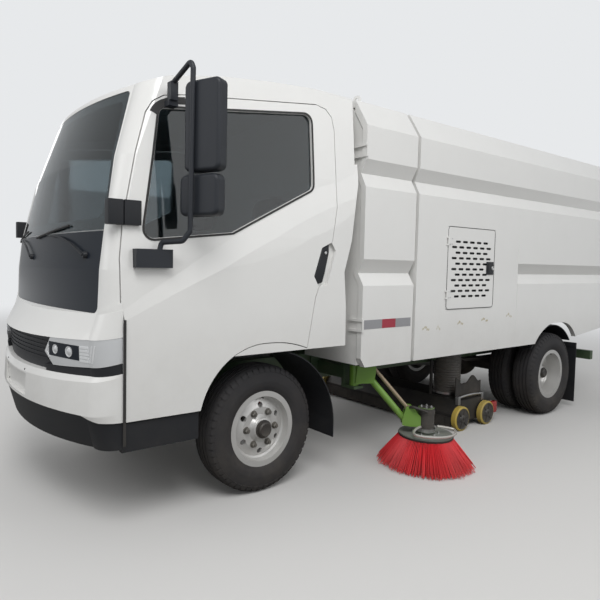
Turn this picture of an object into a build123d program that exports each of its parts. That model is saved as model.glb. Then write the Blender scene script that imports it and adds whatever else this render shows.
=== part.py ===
from build123d import *
import os
from math import atan2, cos, degrees, hypot, radians, sin

# A compact road sweeper: a cab-over light truck that carries a machine bay, a tipping
# hopper, two side brushes on parallelogram arms and a wheeled suction nozzle.
# Millimetres, +Z up, front towards -Y, +X on the vehicle's left side, floor at Z = 0.
# The model is drawn with Y = 0 at the front axle and moved to its origin at export.

os.makedirs("parts", exist_ok=True)

# Chassis and running gear
wheelbase = 3300
front_overhang = 1210
rear_overhang = 1505
tyre_radius = 380
tyre_half_width = 100
rim_seat_radius = 203
rim_flange_radius = 225
rim_half_width = 82
wheel_track_half = 770
kingpin_x = 690
dual_plane_x = 733
dual_spacing = 230
running_gap = 5
seat_gap = 0.3
pin_gap = 0.1
rail_outer_x = 400
rail_flange = 65
rail_web = 8
rail_bottom = 510
rail_top = 700
rail_front = -860
rail_rear = wheelbase + 1070
hanger_x = 380
bearer_height = 60
tow_radius = 16
rear_tow_reach = 70
rear_flap = wheelbase + 464
lifting_eye_radius = 15
plate_hole_radius = 3.5
plate_hole_spacing = 220

# Cab
cab_wall = 45
cab_floor_z = 755
cab_seat_z = 965
door_gap = 5
glass_thickness = 6
tilt_y = -1000
tilt_z = 600
tilt_pin_radius = 14
door_hinge_x = 948
door_hinge_y = -906

# Superstructure
body_half_width = 960
body_bottom = 690
groove_depth = 49
body_roof_z = 2420
body_wall = 40
bay_front = 705
bay_rear = 1228
bay_hinge_x = 965
hopper_front = 1245
hopper_groove_start = wheelbase - 710
hopper_floor = 765
gate_thickness = 60
gate_hinge_z = 2440
tip_y = rail_rear - 20
tip_z = 820
tip_pin_radius = 16
hopper_rear = wheelbase + rear_overhang

# Sweeping gear
brush_x = 1085
brush_y = 1230
brush_radius = 330
brush_disc_radius = 178
brush_disc_z = 200
brush_lowest = 3
post_x = 740
post_y = 880
arm_root = 110
arm_root_z = 570
arm_reach = 242
arm_drop = 278
tie_rise = 84
tie_lead = 16
nozzle_front = 2060
nozzle_rear = 2540
nozzle_wheel_x = 782
nozzle_wheel_radius = 102
nozzle_wheels_y = (2114, 2482)
duct_x = 520
duct_radius = 108
duct_top = 872
guide_x = 450
guide_spread = 130
guide_radius = 14

origin_shift = (front_overhang - wheelbase - rear_overhang) / 2


def polygon(points):
    return make_face(Polyline(*points, close=True))


def across(face, x0, x1):
    """A (y, z) outline extruded from x0 to x1."""
    return extrude(Plane.YZ.offset(x0) * face, x1 - x0)


def along(face, y0, y1):
    """An (x, z) outline extruded from y0 to y1."""
    return extrude(Plane.XZ.offset(-y1) * face, y1 - y0)


def upward(face, z0, z1):
    return extrude(Plane.XY.offset(z0) * face, z1 - z0)


def block(x0, x1, y0, y1, z0, z1):
    middle = Pos((x0 + x1) / 2, (y0 + y1) / 2, (z0 + z1) / 2)
    return middle * Box(x1 - x0, y1 - y0, z1 - z0)


def rod(start, end, radius, bore=0):
    run = Vector(*end) - Vector(*start)
    plane = Plane(origin=start, z_dir=run)
    upright = (Align.CENTER, Align.CENTER, Align.MIN)
    solid = Cylinder(radius, run.length, align=upright)
    if bore:
        solid -= Cylinder(bore, run.length, align=upright)
    return plane * solid


def hinge(fixed, moving, start, end, radius, pin_radius, fixed_web, moving_web, grip=16):
    """A moving barrel from start to end, between two fixed ones on a common pin."""
    low, high = Vector(*start), Vector(*end)
    way = (high - low).normalized()
    foot, tip = low - way * grip, high + way * grip
    ends = [(foot, low - way), (high + way, tip)]
    fixed = fixed - rod(low - way, high + way, radius + 3)
    moving = moving - rod(foot - way * 2, tip + way * 2, radius + 3)
    for a, b in ends:
        fixed += rod(a, b, radius) + fixed_web(a, b)
    moving += rod(low, high, radius) + moving_web(low, high)
    moving -= rod(foot, tip, pin_radius + pin_gap)
    return fixed + rod(foot, tip, pin_radius), moving


def mirrored(shape):
    return mirror(shape, Plane.YZ)


def turned(profile, x=0):
    """A (x, radius) half-section revolved about a lateral axis through the origin."""
    return Pos(x, 0, 0) * revolve(Plane.XY * profile, Axis.X)


nodes = {}


def keep(name, shape):
    nodes[name] = shape


# Cab skin: horizontal sections, each with a bowed front, rounded corners and plain sides.
# Columns: z, front at centre, corner y, corner half-width, side start y,
# half-width at front, half-width at rear, rear y
cab_sections = [
    (577, -1060, -975, 830, -905, 948, 950, 568),
    (1098, -1085, -997, 835, -915, 945, 950, 560),
    (1310, -1078, -989, 836, -922, 938, 950, 540),
    (1506, -1055, -966, 836, -905, 926, 948, 600),
    (1871, -985, -880, 760, -822, 892, 938, 655),
    (2263, -850, -748, 680, -668, 842, 908, 652),
    (2600, -730, -620, 600, -530, 798, 880, 650),
]
# Columns: y, height of the roof's edge
roof_edge = [(-1250, 1960), (-830, 2213), (-626, 2291), (-313, 2351), (0, 2386), (340, 2411), (800, 2414)]
roof_crown = 62
roof_edge_x = 872


def plan_outline(z_at, centre, corner_y, corner_x, side_y, front_x, rear_x, rear_y, inset=0):
    """One closed plan section; z_at(y) gives the height, so the section may lean."""
    def at(x, y):
        return (x, y, z_at(y))
    centre, corner_y, side_y = centre + inset, corner_y + inset, side_y + inset * 0.5
    corner_x, front_x, rear_x, rear_y = corner_x - inset * 0.5, front_x - inset, rear_x - inset, rear_y - inset
    chord = hypot(front_x - corner_x, side_y - corner_y)
    bulge = 0.17 * chord
    mid_x = (corner_x + front_x) / 2 + bulge * (side_y - corner_y) / chord
    mid_y = (corner_y + side_y) / 2 - bulge * (front_x - corner_x) / chord
    rear_cut = 25
    edges = [
        ThreePointArc(at(-corner_x, corner_y), at(0, centre), at(corner_x, corner_y)),
        ThreePointArc(at(corner_x, corner_y), at(mid_x, mid_y), at(front_x, side_y)),
        Line(at(front_x, side_y), at(rear_x, rear_y - rear_cut)),
        Line(at(rear_x, rear_y - rear_cut), at(rear_x - rear_cut, rear_y)),
        Line(at(rear_x - rear_cut, rear_y), at(-rear_x + rear_cut, rear_y)),
        Line(at(-rear_x + rear_cut, rear_y), at(-rear_x, rear_y - rear_cut)),
        Line(at(-rear_x, rear_y - rear_cut), at(-front_x, side_y)),
        ThreePointArc(at(-front_x, side_y), at(-mid_x, mid_y), at(-corner_x, corner_y)),
    ]
    return make_face(Wire(edges))


def cab_tower(inset):
    faces = [plan_outline(lambda y, z=row[0]: z, *row[1:], inset=inset) for row in cab_sections]
    return loft(faces, ruled=True)


def cab_cap(inset):
    """Everything under the roof: crowned sections in planes across the cab."""
    faces = []
    for y, edge in roof_edge:
        edge, crown, side = edge - inset, edge - inset + roof_crown, roof_edge_x - inset
        points = [(side, edge), (side + 55, edge - 55), (1100, edge - 170), (1100, 400)]
        left = [(-x, z) for x, z in reversed(points)]
        line = Polyline(*points, *left)
        arc = ThreePointArc((-side, edge), (0, crown), (side, edge))
        faces.append(Plane.XZ.offset(-y) * make_face(Wire([line.wire().edges()[i] for i in range(7)] + [arc])))
    return loft(faces, ruled=True)


def cab_skin(inset=0):
    return cab_tower(inset) & cab_cap(inset)


# The door's outline in the side view, from the foot of the front seam upwards
door_front_seam = [(-908, 577), (-908, 1064), (-925, 1157), (-928, 1361), (-912, 1518), (-885, 1644),
                   (-832, 1875), (-762, 2090), (-725, 2150), (-665, 2188), (-560, 2210)]
door_rear_seam = [(330, 2316), (405, 2300), (450, 2255), (468, 2180), (470, 1870), (465, 1700), (430, 1500), (340, 1250),
                  (300, 1150), (243, 853)]
arch_rear_top = (243, 853)
arch_crown = (-60, 903)
arch_front_foot = (-484, 577)


def door_outline():
    line = Polyline(arch_front_foot, *door_front_seam, *door_rear_seam)
    rear = ThreePointArc(arch_rear_top, (95, 893), arch_crown)
    front = ThreePointArc(arch_crown, (-330, 815), arch_front_foot)
    return make_face(Wire([*line.edges(), rear, front]))


def window_outline():
    sharp = polygon([(-690, 2116), (284, 2244), (279, 1802), (-291, 1517), (-806, 1460)])
    return fillet(sharp.vertices(), 45)


def mask_outline():
    points = [(835, 1098), (840, 1506), (752, 1871), (668, 2240)]
    left = [(-x, z) for x, z in reversed(points)]
    return fillet(polygon(points + left).vertices(), 38)


def screen_opening():
    points = [(800, 1560), (722, 1871), (640, 2185)]
    left = [(-x, z) for x, z in reversed(points)]
    return fillet(polygon(points + left).vertices(), 55)


mask_seam_z = 1500

# The fuller lower side: it fades into the skin between two rising creases.
# Columns: y, half-width, lower crease z, upper crease z, skin's half-width at the upper crease
shoulder_sections = [(-930, 948.5, 1056, 1146, 941), (-560, 956, 1232, 1363, 935), (94, 957, 1518, 1703, 932),
                     (660, 957, 1772, 1998, 926)]


def shoulder():
    faces = []
    for y, x, low, high, skin_x in shoulder_sections:
        faces.append(Plane.XZ.offset(-y) * polygon([(880, 577), (x, 577), (x, low), (skin_x, high), (880, high)]))
    side = loft(faces, ruled=True) & cab_tower(-14)
    rear_edge = [(row[7], row[0]) for row in cab_sections[:6]]
    side &= across(polygon([(-1000, 577), *rear_edge, (-1000, 2263)]), 800, 1000)
    side -= block(700, 1000, -1000, door_front_seam[0][0], 400, 1180)
    return side + mirrored(side)


def handle_well():
    """The recess round the door handle; it runs on over the door's rear seam."""
    sharp = polygon([(283, 1283), (324, 1220), (393, 1232), (457, 1439), (420, 1489), (342, 1454)])
    well = across(fillet(sharp.vertices(), 12), 936, 1000)
    return well + mirrored(well)


def make_cab():
    outer = cab_skin() + shoulder() - handle_well()
    wall = outer - cab_skin(cab_wall)
    far = 1200
    door_prism = across(door_outline(), 560, far)
    door_cut = door_prism + mirrored(door_prism)
    shell = wall - door_cut
    shell -= block(-far, far, -far, far, 500, 720)
    shell -= block(-far, far, arch_front_foot[0], far, 500, 850)
    pocket = (cab_skin(-5) - cab_skin(9.3)) & along(mask_outline(), -1300, -500)
    shell -= pocket
    shell -= along(screen_opening(), -1300, -500)
    inner_x = 880
    floor = [(-1010, 720), (-470, 720), (-470, 930), (600, 930), (600, cab_seat_z), (-505, cab_seat_z),
             (-505, cab_floor_z), (-1030, cab_floor_z)]
    floor_pan = across(polygon(floor), -inner_x, inner_x) & cab_skin(cab_wall - 8)
    shell += floor_pan
    lug = [(tilt_y - 30, 721), (tilt_y + 60, 721), (tilt_y + 28, tilt_z - 15), (tilt_y, tilt_z - 30),
           (tilt_y - 28, tilt_z - 15)]
    for x in (-262, 262):
        shell += across(polygon(lug), x - 20, x + 20)
        shell -= rod((x - 30, tilt_y, tilt_z), (x + 30, tilt_y, tilt_z), tilt_pin_radius + seat_gap)
    door_face = offset(door_outline(), -door_gap, kind=Kind.INTERSECTION)
    door = wall & across(door_face, 560, far)
    door -= across(window_outline(), 560, far)
    for z in (690, 990):
        shell, door = hinge(shell, door, (door_hinge_x, door_hinge_y, z), (door_hinge_x, door_hinge_y, z + 50), 5, 2.5,
                            lambda a, b: block(930, door_hinge_x, door_hinge_y - 5, door_hinge_y - 1, a.Z, b.Z),
                            lambda a, b: block(930, door_hinge_x, door_hinge_y + 1, door_hinge_y + 5, a.Z, b.Z))
    shell = (shell & block(0, far, -2000, far, 0, 3000))
    shell += mirrored(shell)
    keep("cab_shell", shell)

    face = along(offset(mask_outline(), -2, kind=Kind.INTERSECTION), -1300, -500)
    skin = cab_skin(1) - cab_skin(9)
    high = block(-far, far, -1300, -400, mask_seam_z + 3, 2400)
    low = block(-far, far, -1300, -400, 900, mask_seam_z - 3)
    keep("windscreen", skin & face & high)
    keep("front_panel", skin & face & low)

    glass = (cab_skin(14) - cab_skin(14 + glass_thickness)) & across(offset(window_outline(), -seat_gap), 560, far)
    for side, flip in (("left", lambda s: s), ("right", mirrored)):
        keep(f"door_{side}", flip(door))
        keep(f"door_glass_{side}", flip(glass))


# Front trim: bands between leaning plan curves.
# Columns: z at centre, front at centre, corner y, corner half-width, z at side, side y
trim_curves = {
    "valance_foot": (415, -1164, -1010, 800, 450, -920),
    "bumper_foot": (590, -1210, -1062, 840, 630, -916),
    "bumper_crease": (733, -1203, -1050, 838, 806, -916),
    "bumper_top": (769, -1190, -1030, 835, 818, -916),
    "lamp_foot": (801, -1195, -1036, 835, 870, -916),
    "lip": (950, -1200, -1040, 835, 992, -916),
    "mask_foot": (1078, -1088, -1000, 835, 1120, -918),
}
trim_rear = -400
lamp_tip = (468, 880)
plate_pad_y = -1182


def trim_face(name, inset=0, lower=0):
    z_mid, centre, corner_y, corner_x, z_side, side_y = trim_curves[name]
    lean = (z_side - z_mid) / (side_y - centre)
    return plan_outline(lambda y: z_mid - lower + lean * (y - centre), centre, corner_y, corner_x, side_y,
                        950, 950, trim_rear, inset=inset)


def band(*names, wall, inset=0):
    outer = loft([trim_face(name, inset) for name in names], ruled=True)
    core_low, core_high = trim_face(names[0], inset + wall, lower=60), trim_face(names[-1], inset + wall, lower=-60)
    core = loft([core_low, core_high], ruled=True)
    ring = outer - core
    return ring & block(-1000, 1000, -1400, door_front_seam[0][0] - 4, 300, 1300)


def make_front_trim():
    clear = cab_tower(-seat_gap)
    nose = loft([trim_face("lip"), trim_face("mask_foot")], ruled=True)
    nose -= loft([trim_face("lip", 40, lower=45), trim_face("mask_foot", 40, lower=45)], ruled=True)
    nose &= block(-1000, 1000, -1400, door_front_seam[0][0] - 4, 300, 1300)
    clear &= block(-1000, 1000, -1400, 0, 715, 1300)
    wing = along(polygon([(834, 1080), (836, 1098), (915, 1132), (960, 1166), (960, 1080)]), -1100, -914)
    wing &= cab_tower(-4)
    nose += wing + mirrored(wing)
    keep("nose_panel", nose - clear)
    grille = band("bumper_top", "lip", wall=30, inset=26)
    strip = band("bumper_top", "lamp_foot", wall=34, inset=2) & block(-1000, 1000, -1400, -800, 700, 900)
    grille += strip - block(-lamp_tip[0], lamp_tip[0], -1400, -800, 700, 900)
    lamp_shape = polygon([lamp_tip, (540, 975), (540, 1060), (1000, 1060), (1000, 700), (600, 700), (556, 812)])
    lamp_cut = loft([trim_face("lamp_foot", -20, lower=4), trim_face("lip", -20, lower=-30)], ruled=True)
    lamp_cut &= along(offset(lamp_shape, 4, kind=Kind.INTERSECTION), -1400, -800)
    lamp = (band("lamp_foot", "lip", wall=60, inset=2) & along(lamp_shape, -1400, -800)) - clear
    keep("grille_band", grille - lamp_cut - mirrored(lamp_cut) - clear)
    keep("headlamps", lamp + mirrored(lamp))
    corner = along(polygon([(815, 700), (818, 608), (905, 584), (1000, 584), (1000, 700)]), -1400, -800)
    corner += mirrored(corner)
    bumper = band("bumper_foot", "bumper_crease", "bumper_top", wall=45)
    bumper += band("valance_foot", "bumper_foot", wall=45) & corner
    bumper -= block(-244, 244, -1400, plate_pad_y, 606, 726)
    for x in (-560, 560):
        bumper += block(x - 30, x + 30, -1085, -1000, 722, 752)
    keep("bumper", bumper - clear)
    valance = band("valance_foot", "bumper_foot", wall=35, inset=8) - corner
    skirt = block(905, 938, -912, -490, 432, 572)
    valance += skirt + mirrored(skirt)
    keep("bumper_valance", valance)


def make_cab_interior():
    dash = across(polygon([(-960, 1120), (-700, 1120), (-640, 1220), (-700, 1330), (-960, 1430)]), -850, 850)
    dash &= cab_skin(cab_wall + seat_gap)
    dash += rod((430, -700, 1200), (430, -520, 1300), 32)
    wheel_plane = Plane(origin=(430, -505, 1308), z_dir=(0, 0.87, 0.48))
    dash += wheel_plane * (Torus(215, 15) + Cylinder(48, 40) + Box(410, 36, 16))
    keep("dashboard", dash)
    seat = block(-240, 240, -330, 210, cab_seat_z + seat_gap, 1120)
    seat += across(polygon([(130, 1100), (250, 1100), (400, 1780), (300, 1790)]), -230, 230)
    keep("seats", Part() + [Pos(x, 0, 0) * seat for x in (-450, 450)])


def mirror_head(width, height):
    """A housing with a rounded front, turned so that its glass looks back and inwards."""
    outline = fillet(Rectangle(width, height).vertices(), 34)
    body = along(outline, -32, 32)
    return Rot(0, 0, 25) * fillet(body.edges().group_by(Axis.Y)[0], 18)


def make_mirrors():
    path = FilletPolyline((896, -640, 2150), (905, -640, 2235), (1060, -625, 2300), (1077, -622, 2265), (1078, -630, 1500),
                          (1060, -660, 1452), (968, -726, 1446), (962, -740, 1380), radius=20)
    bar = sweep(Plane(origin=path @ 0, z_dir=path % 0) * Circle(13), path=path)
    upper = Pos(1098, -566, 2000) * mirror_head(206, 430)
    lower = Pos(1076, -568, 1674) * mirror_head(224, 200)
    mirrors = bar + upper + lower
    mirrors += block(850, 915, -665, -615, 2124, 2152) + block(885, 925, -660, -620, 2150, 2240)
    mirrors += block(910, 978, -860, -668, 1322, 1412)
    mirrors -= cab_tower(-seat_gap)
    keep("mirror_left", mirrors)
    keep("mirror_right", mirrored(mirrors))


def front_rim():
    """Half-section of the steel wheel, outwards from the tyre's middle."""
    w, seat, lip = rim_half_width, rim_seat_radius, rim_flange_radius
    points = [(w, lip), (w, seat - 10), (44, seat - 20), (36, 172), (46, 150), (58, 126), (58, 84), (72, 70),
              (84, 62), (90, 40), (90, 0), (-20, 0), (-20, 92), (30, 92), (40, 126), (28, 150), (16, 172),
              (8, seat - 22), (-w, seat - 14), (-w, lip), (-w + 10, lip), (-w + 12, seat), (w - 12, seat),
              (w - 10, lip)]
    return points


def rear_rim():
    """The outer wheel of a twin pair: a deep dish with its disc towards the other wheel."""
    w, seat, lip = rim_half_width, rim_seat_radius, rim_flange_radius
    disc = dual_spacing / 2
    points = [(w, lip), (w, seat - 10), (-30, seat - 20), (-48, 176), (-78, 160), (8 - disc, 132), (8 - disc, 104),
              (-disc, 104), (-disc, 132), (-90, 160), (-60, 186), (-w, seat - 14), (-w, lip), (-w + 10, lip),
              (-w + 12, seat), (w - 12, seat), (w - 10, lip)]
    return points


def tyre():
    w, crown, seat = tyre_half_width, tyre_radius, rim_seat_radius + seat_gap
    right = [(0, crown), (62, crown - 3), (84, crown - 14), (93, crown - 42), (w, crown - 88), (94, crown - 128),
             (rim_half_width - 13, seat + 20), (rim_half_width - 13, seat)]
    left = [(-x, r) for x, r in reversed(right[1:])]
    return turned(polygon(right + left))


def hand_holes(radius, size):
    holes = [Rot(60 * i, 0, 0) * (Pos(0, 0, radius) * Rot(0, 90, 0) * Cylinder(size, 400)) for i in range(6)]
    return Part() + holes


def hub_bore(radius):
    return Rot(0, 90, 0) * Cylinder(radius, 600)


spindle_radius = 26


def make_wheels():
    bore = Rot(0, 90, 0) * Cylinder(spindle_radius + seat_gap, 120, align=(Align.CENTER, Align.CENTER, Align.MIN))
    rim = turned(polygon(front_rim())) - hand_holes(138, 17) - Pos(-60, 0, 0) * bore
    for side, sign in (("left", 1), ("right", -1)):
        place = Pos(sign * wheel_track_half, 0, tyre_radius)
        flip = (lambda s: s) if sign > 0 else mirrored
        keep(f"front_rim_{side}", place * flip(rim))
        keep(f"front_tyre_{side}", place * tyre())

    outer = turned(polygon(rear_rim())) - hand_holes(146, 17)
    half = dual_spacing / 2
    hub_points = [(-130, 0), (-130, 88), (-2, 88), (-2, 150), (12, 150), (12, 72), (120, 60), (132, 40), (132, 0)]
    hub = turned(polygon(hub_points)) - Pos(-60, 0, 0) * hub_bore(38 + pin_gap)
    hub += turned(polygon([(132, 0), (132, 40), (100, 40), (100, 0)]))
    pair = Pos(half, 0, 0) * outer + Pos(-half, 0, 0) * mirrored(outer) + hub
    tyres = Part() + [Pos(sign * half, 0, 0) * tyre() for sign in (1, -1)]
    for side, sign in (("left", 1), ("right", -1)):
        place = Pos(sign * dual_plane_x, wheelbase, tyre_radius)
        flip = (lambda s: s) if sign > 0 else mirrored
        keep(f"rear_rims_{side}", place * flip(pair))
        keep(f"rear_tyres_{side}", place * tyres)


def leaf_spring(x, y, z, length, width, leaves, drop):
    """A stack of bowed leaves, the longest on top, with its eyes at the ends."""
    spring = Part()
    leaf = 11
    for i in range(leaves):
        half = length / 2 * (1 - 0.2 * i)
        sag = drop * (1 - 0.2 * i) ** 2
        top = z - drop - leaf * i
        outline = [(y - half, top + sag), (y, top), (y + half, top + sag), (y + half, top + sag + leaf),
                   (y, top + leaf), (y - half, top + sag + leaf)]
        low = ThreePointArc((y - half, top + sag), (y, top), (y + half, top + sag))
        high = ThreePointArc((y - half, top + sag + leaf), (y, top + leaf), (y + half, top + sag + leaf))
        ends = [Line(outline[0], outline[5]), Line(outline[2], outline[3])]
        spring += across(make_face(Wire([low, ends[1], high, ends[0]])), x - width / 2, x + width / 2)
    for end in (-1, 1):
        eye_y = y + end * length / 2
        spring += rod((x - width / 2, eye_y, z + leaf / 2), (x + width / 2, eye_y, z + leaf / 2), 22)
    return spring


# Columns: y, underside, top
cross_members = [(rail_front + 45, 550, 660), (1120, 618, 694), (1700, 600, 694), (wheelbase - 580, 550, 660),
                 (wheelbase + 420, 550, 660), (rail_rear - 40, 530, 680)]


def make_chassis():
    rail = [(0, rail_bottom), (0, rail_top), (-rail_flange, rail_top), (-rail_flange, rail_top - rail_web),
            (-rail_web, rail_top - rail_web), (-rail_web, rail_bottom + rail_web),
            (-rail_flange, rail_bottom + rail_web), (-rail_flange, rail_bottom)]
    frame = Part()
    for sign in (1, -1):
        outline = [(sign * (rail_outer_x + x), z) for x, z in rail]
        frame += along(polygon(outline), rail_front, rail_rear)
        bearer = (rail_outer_x - rail_flange, rail_outer_x - 5)
        low, high = sorted(sign * v for v in bearer)
        frame += block(low, high, bay_front + 15, rail_rear - 20, rail_top, rail_top + bearer_height - seat_gap)
    web = rail_outer_x - rail_web / 2
    for y, low, high in cross_members:
        frame += block(-web, web, y - 35, y + 35, low, high)
    hoop_y = 475
    frame += block(-web, web, hoop_y - 25, hoop_y + 25, 880, 930 - seat_gap)
    for sign in (1, -1):
        x0, x1 = sorted((sign * web, sign * (web - 60)))
        frame += block(x0, x1, hoop_y - 25, hoop_y + 25, rail_top - 20, 900)
    for x in (-310, 310):
        ear = across(polygon([(tilt_y - 35, tilt_z), (tilt_y, tilt_z - 35), (rail_front + 90, 560),
                              (rail_front + 90, 660), (tilt_y, tilt_z + 35)]), x - 18, x + 18)
        frame += ear
        inner = x - 74 if x > 0 else x + 74
        frame += rod((inner, tilt_y, tilt_z), (x, tilt_y, tilt_z), tilt_pin_radius)
    for x in (-1, 1):
        arm = across(polygon([(tip_y - 60, rail_top - 20), (tip_y + 15, rail_top - 20), (tip_y + 34, tip_z),
                              (tip_y, tip_z + 34), (tip_y - 34, tip_z)]), x * 300 - 12, x * 300 + 12)
        frame += arm + rod((x * 250, tip_y, tip_z), (x * 312, tip_y, tip_z), tip_pin_radius)
        frame += block(min(x * 288, x * 396), max(x * 288, x * 396), tip_y - 60, tip_y + 15, rail_top - 20, rail_top)
    middle = (nozzle_front + nozzle_rear) / 2
    for sign in (1, -1):
        for y in (middle - guide_spread, middle + guide_spread):
            low, high = sorted((sign * (web - 2), sign * (guide_x + 26)))
            bush = block(low, high, y - 28, y + 28, 540, 580)
            frame += bush - rod((sign * guide_x, y, 500), (sign * guide_x, y, 600), guide_radius + seat_gap)
    for sign in (1, -1):
        for y in (-600, 640, wheelbase - 640, wheelbase + 640):
            hanger = across(polygon([(y - 40, rail_bottom + 5), (y + 40, rail_bottom + 5), (y + 24, 462),
                                     (y, 448), (y - 24, 462)]), 0, 20)
            frame += Pos(hanger_x if sign > 0 else -rail_outer_x, 0, 0) * hanger
    front_tow = block(-45, 45, rail_front - 70, rail_front + 20, 592, 618)
    frame += front_tow - rod((0, rail_front - 40, 580), (0, rail_front - 40, 630), tow_radius)
    rear_tow = block(-45, 45, rail_rear - 30, rail_rear + rear_tow_reach + 30, 592, 618)
    frame += rear_tow - rod((0, rail_rear + rear_tow_reach, 580), (0, rail_rear + rear_tow_reach, 630), tow_radius)
    keep("chassis_frame", frame)


spring_x = 335


def make_axles():
    beam_z = 330
    front = block(-520, 520, -38, 38, beam_z - 45, beam_z + 30)
    for sign in (1, -1):
        rise = along(polygon([(sign * 500, beam_z - 45), (sign * 500, beam_z + 30), (sign * 640, 420),
                              (sign * 668, 420), (sign * 668, 340), (sign * 640, 340)]), -38, 38)
        front += rise
        front += leaf_spring(sign * spring_x, 20, 478, 1240, 66, 4, 95)
        front += block(sign * spring_x - 38, sign * spring_x + 38, -52, 70, beam_z - 45, 384)
        for y in (-600, 640):
            front += rod((sign * spring_x, y, 483), (sign * (hanger_x - seat_gap), y, 483), 14)
    fist = rod((kingpin_x, 0, 322), (kingpin_x, 0, 438), 34)
    hole = rod((kingpin_x, 0, 300), (kingpin_x, 0, 460), 18 + seat_gap)
    front += fist + mirrored(fist) - hole - mirrored(hole)
    keep("front_axle", front)

    rear = Pos(0, wheelbase, tyre_radius) * (Rot(0, 90, 0) * Cylinder(58, 1150) + Sphere(168))
    rear += rod((0, wheelbase - 230, tyre_radius), (0, wheelbase - 100, tyre_radius), 66)
    for sign in (1, -1):
        rear += rod((sign * 560, wheelbase, tyre_radius), (sign * 588, wheelbase, tyre_radius), 150)
        rear += rod((sign * 560, wheelbase, tyre_radius), (sign * 790, wheelbase, tyre_radius), 38)
        rear += leaf_spring(sign * spring_x, wheelbase, 478, 1280, 70, 3, 20)
        rear += block(sign * spring_x - 40, sign * spring_x + 40, wheelbase - 60, wheelbase + 60, 424, 450)
        for y in (wheelbase - 640, wheelbase + 640):
            rear += rod((sign * spring_x, y, 483), (sign * (hanger_x - seat_gap), y, 483), 14)
    keep("rear_axle", rear)


def make_knuckles():
    pin = rod((kingpin_x, 0, 300), (kingpin_x, 0, 460), 18)
    jaw = block(kingpin_x - 34, kingpin_x + 52, -36, 36, 290, 316)
    jaw += block(kingpin_x - 34, kingpin_x + 52, -36, 36, 444, 470)
    jaw += block(kingpin_x + 38, kingpin_x + 60, -60, 60, 290, 470)
    hub_face = wheel_track_half - 20
    spindle = rod((kingpin_x + 40, 0, tyre_radius), (hub_face + 76, 0, tyre_radius), spindle_radius)
    arm = across(polygon([(-20, 292), (170, 292), (170, 308), (-20, 308)]), kingpin_x - 40, kingpin_x - 8)
    knuckle = pin + jaw + spindle + arm
    keep("knuckle_left", knuckle)
    keep("knuckle_right", mirrored(knuckle))


def make_drive_line():
    engine = block(-260, 260, -380, 430, 430, 900)
    engine += rod((0, 430, 590), (0, 760, 580), 130)
    bracket = block(250, rail_outer_x - rail_web - seat_gap, -120, -50, 560, 600)
    engine += bracket + mirrored(bracket)
    end = wheelbase - 230 - seat_gap
    engine += rod((0, 750, 580), (0, end - 7, tyre_radius), 42)
    engine += rod((0, end - 14, tyre_radius), (0, end, tyre_radius), 58)
    keep("drive_unit", engine - rod((0, end, tyre_radius), (0, end + 40, tyre_radius), 80))


def rear_guard():
    """The liner over one pair of rear wheels, inside the body's arch."""
    centre_z, outer, inner = tyre_radius, 460, 453
    ends = [(wheelbase + r * cos(radians(a)), centre_z + r * sin(radians(a))) for a in (40, 145) for r in (outer, inner)]
    tops = [(wheelbase + r * cos(radians(92)), centre_z + r * sin(radians(92))) for r in (outer, inner)]
    face = make_face(Wire([ThreePointArc(ends[0], tops[0], ends[2]), Line(ends[2], ends[3]),
                           ThreePointArc(ends[3], tops[1], ends[1]), Line(ends[1], ends[0])]))
    guard = across(face, 500, 930)
    end = wheelbase - 350
    return guard + rod((rail_outer_x + seat_gap, end, 668), (560, end, 668), 13)


def make_mudguards():
    outer, inner = 494, 488
    arc = make_face(Wire([
        ThreePointArc((120, 838), (395, 652), (outer, tyre_radius)),
        Line((outer, tyre_radius), (inner, tyre_radius)),
        ThreePointArc((inner, tyre_radius), (390, 648), (118, 832)),
        Line((118, 832), (120, 838))]))
    guard = across(arc, 560, 938)
    guard += block(700, 938, inner, outer, 270, 382)
    guard += rod((rail_outer_x + seat_gap, 438, 600), (800, 438, 600), 13)
    guard += block(520, 944, rear_flap, rear_flap + 8, 60, 640)
    guard += block(rail_outer_x + seat_gap, 944, rear_flap - 12, rear_flap, 600, 640)
    guard += rear_guard()
    keep("mudguards", guard + mirrored(guard))


def make_rear_gear():
    face = rail_rear + 30
    bar = block(-840, 840, face - 60, face, 410, 500)
    for sign in (1, -1):
        x0, x1 = sorted((sign * 350, sign * 380))
        bar += block(x0, x1, face - 55, face - 32, 500, rail_bottom - seat_gap)
    bar += block(-160, 160, face, face + 10, 415, 495)
    for x in (-plate_hole_spacing / 2, plate_hole_spacing / 2):
        bar -= rod((x, face - 10, 455), (x, face + 20, 455), plate_hole_radius)
    keep("rear_bar", bar)
    lamp = block(560, 800, face + seat_gap, face + 40, 415, 495)
    keep("tail_lamps", lamp + mirrored(lamp))


def make_side_tank():
    rear = wheelbase - 440
    tank = fillet(block(-870, -470, rear - 220, rear, 440, 690).edges().filter_by(Axis.X), 40)
    for y in (rear - 180, rear - 70):
        tank += block(-480, -rail_outer_x - seat_gap, y, y + 40, 560, 660)
    keep("fuel_tank", tank)


# Body side: half-section in (x, z), upwards. The two V grooves run along the body.
def body_points(inset, low_groove):
    outer, deep = body_half_width - inset, body_half_width - groove_depth - inset
    points = [(outer - 5, body_bottom)]
    if low_groove:
        points += [(outer, 1223), (deep, 1305), (outer, 1394)]
    points += [(outer, 1855), (deep + 4, 1945), (outer, 2030), (outer, 2242 - inset * 0.4),
               (852 - inset * 0.6, body_roof_z - inset)]
    return points


def body_section(inset, low_groove, low=None, crown=18):
    half = body_points(inset, low_groove)
    if low is not None:
        half[0] = (half[0][0], low)
    left = [(-x, z) for x, z in reversed(half)]
    return polygon(half + [(0, body_roof_z + crown - inset)] + left)


roof_seam_x = 850


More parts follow.
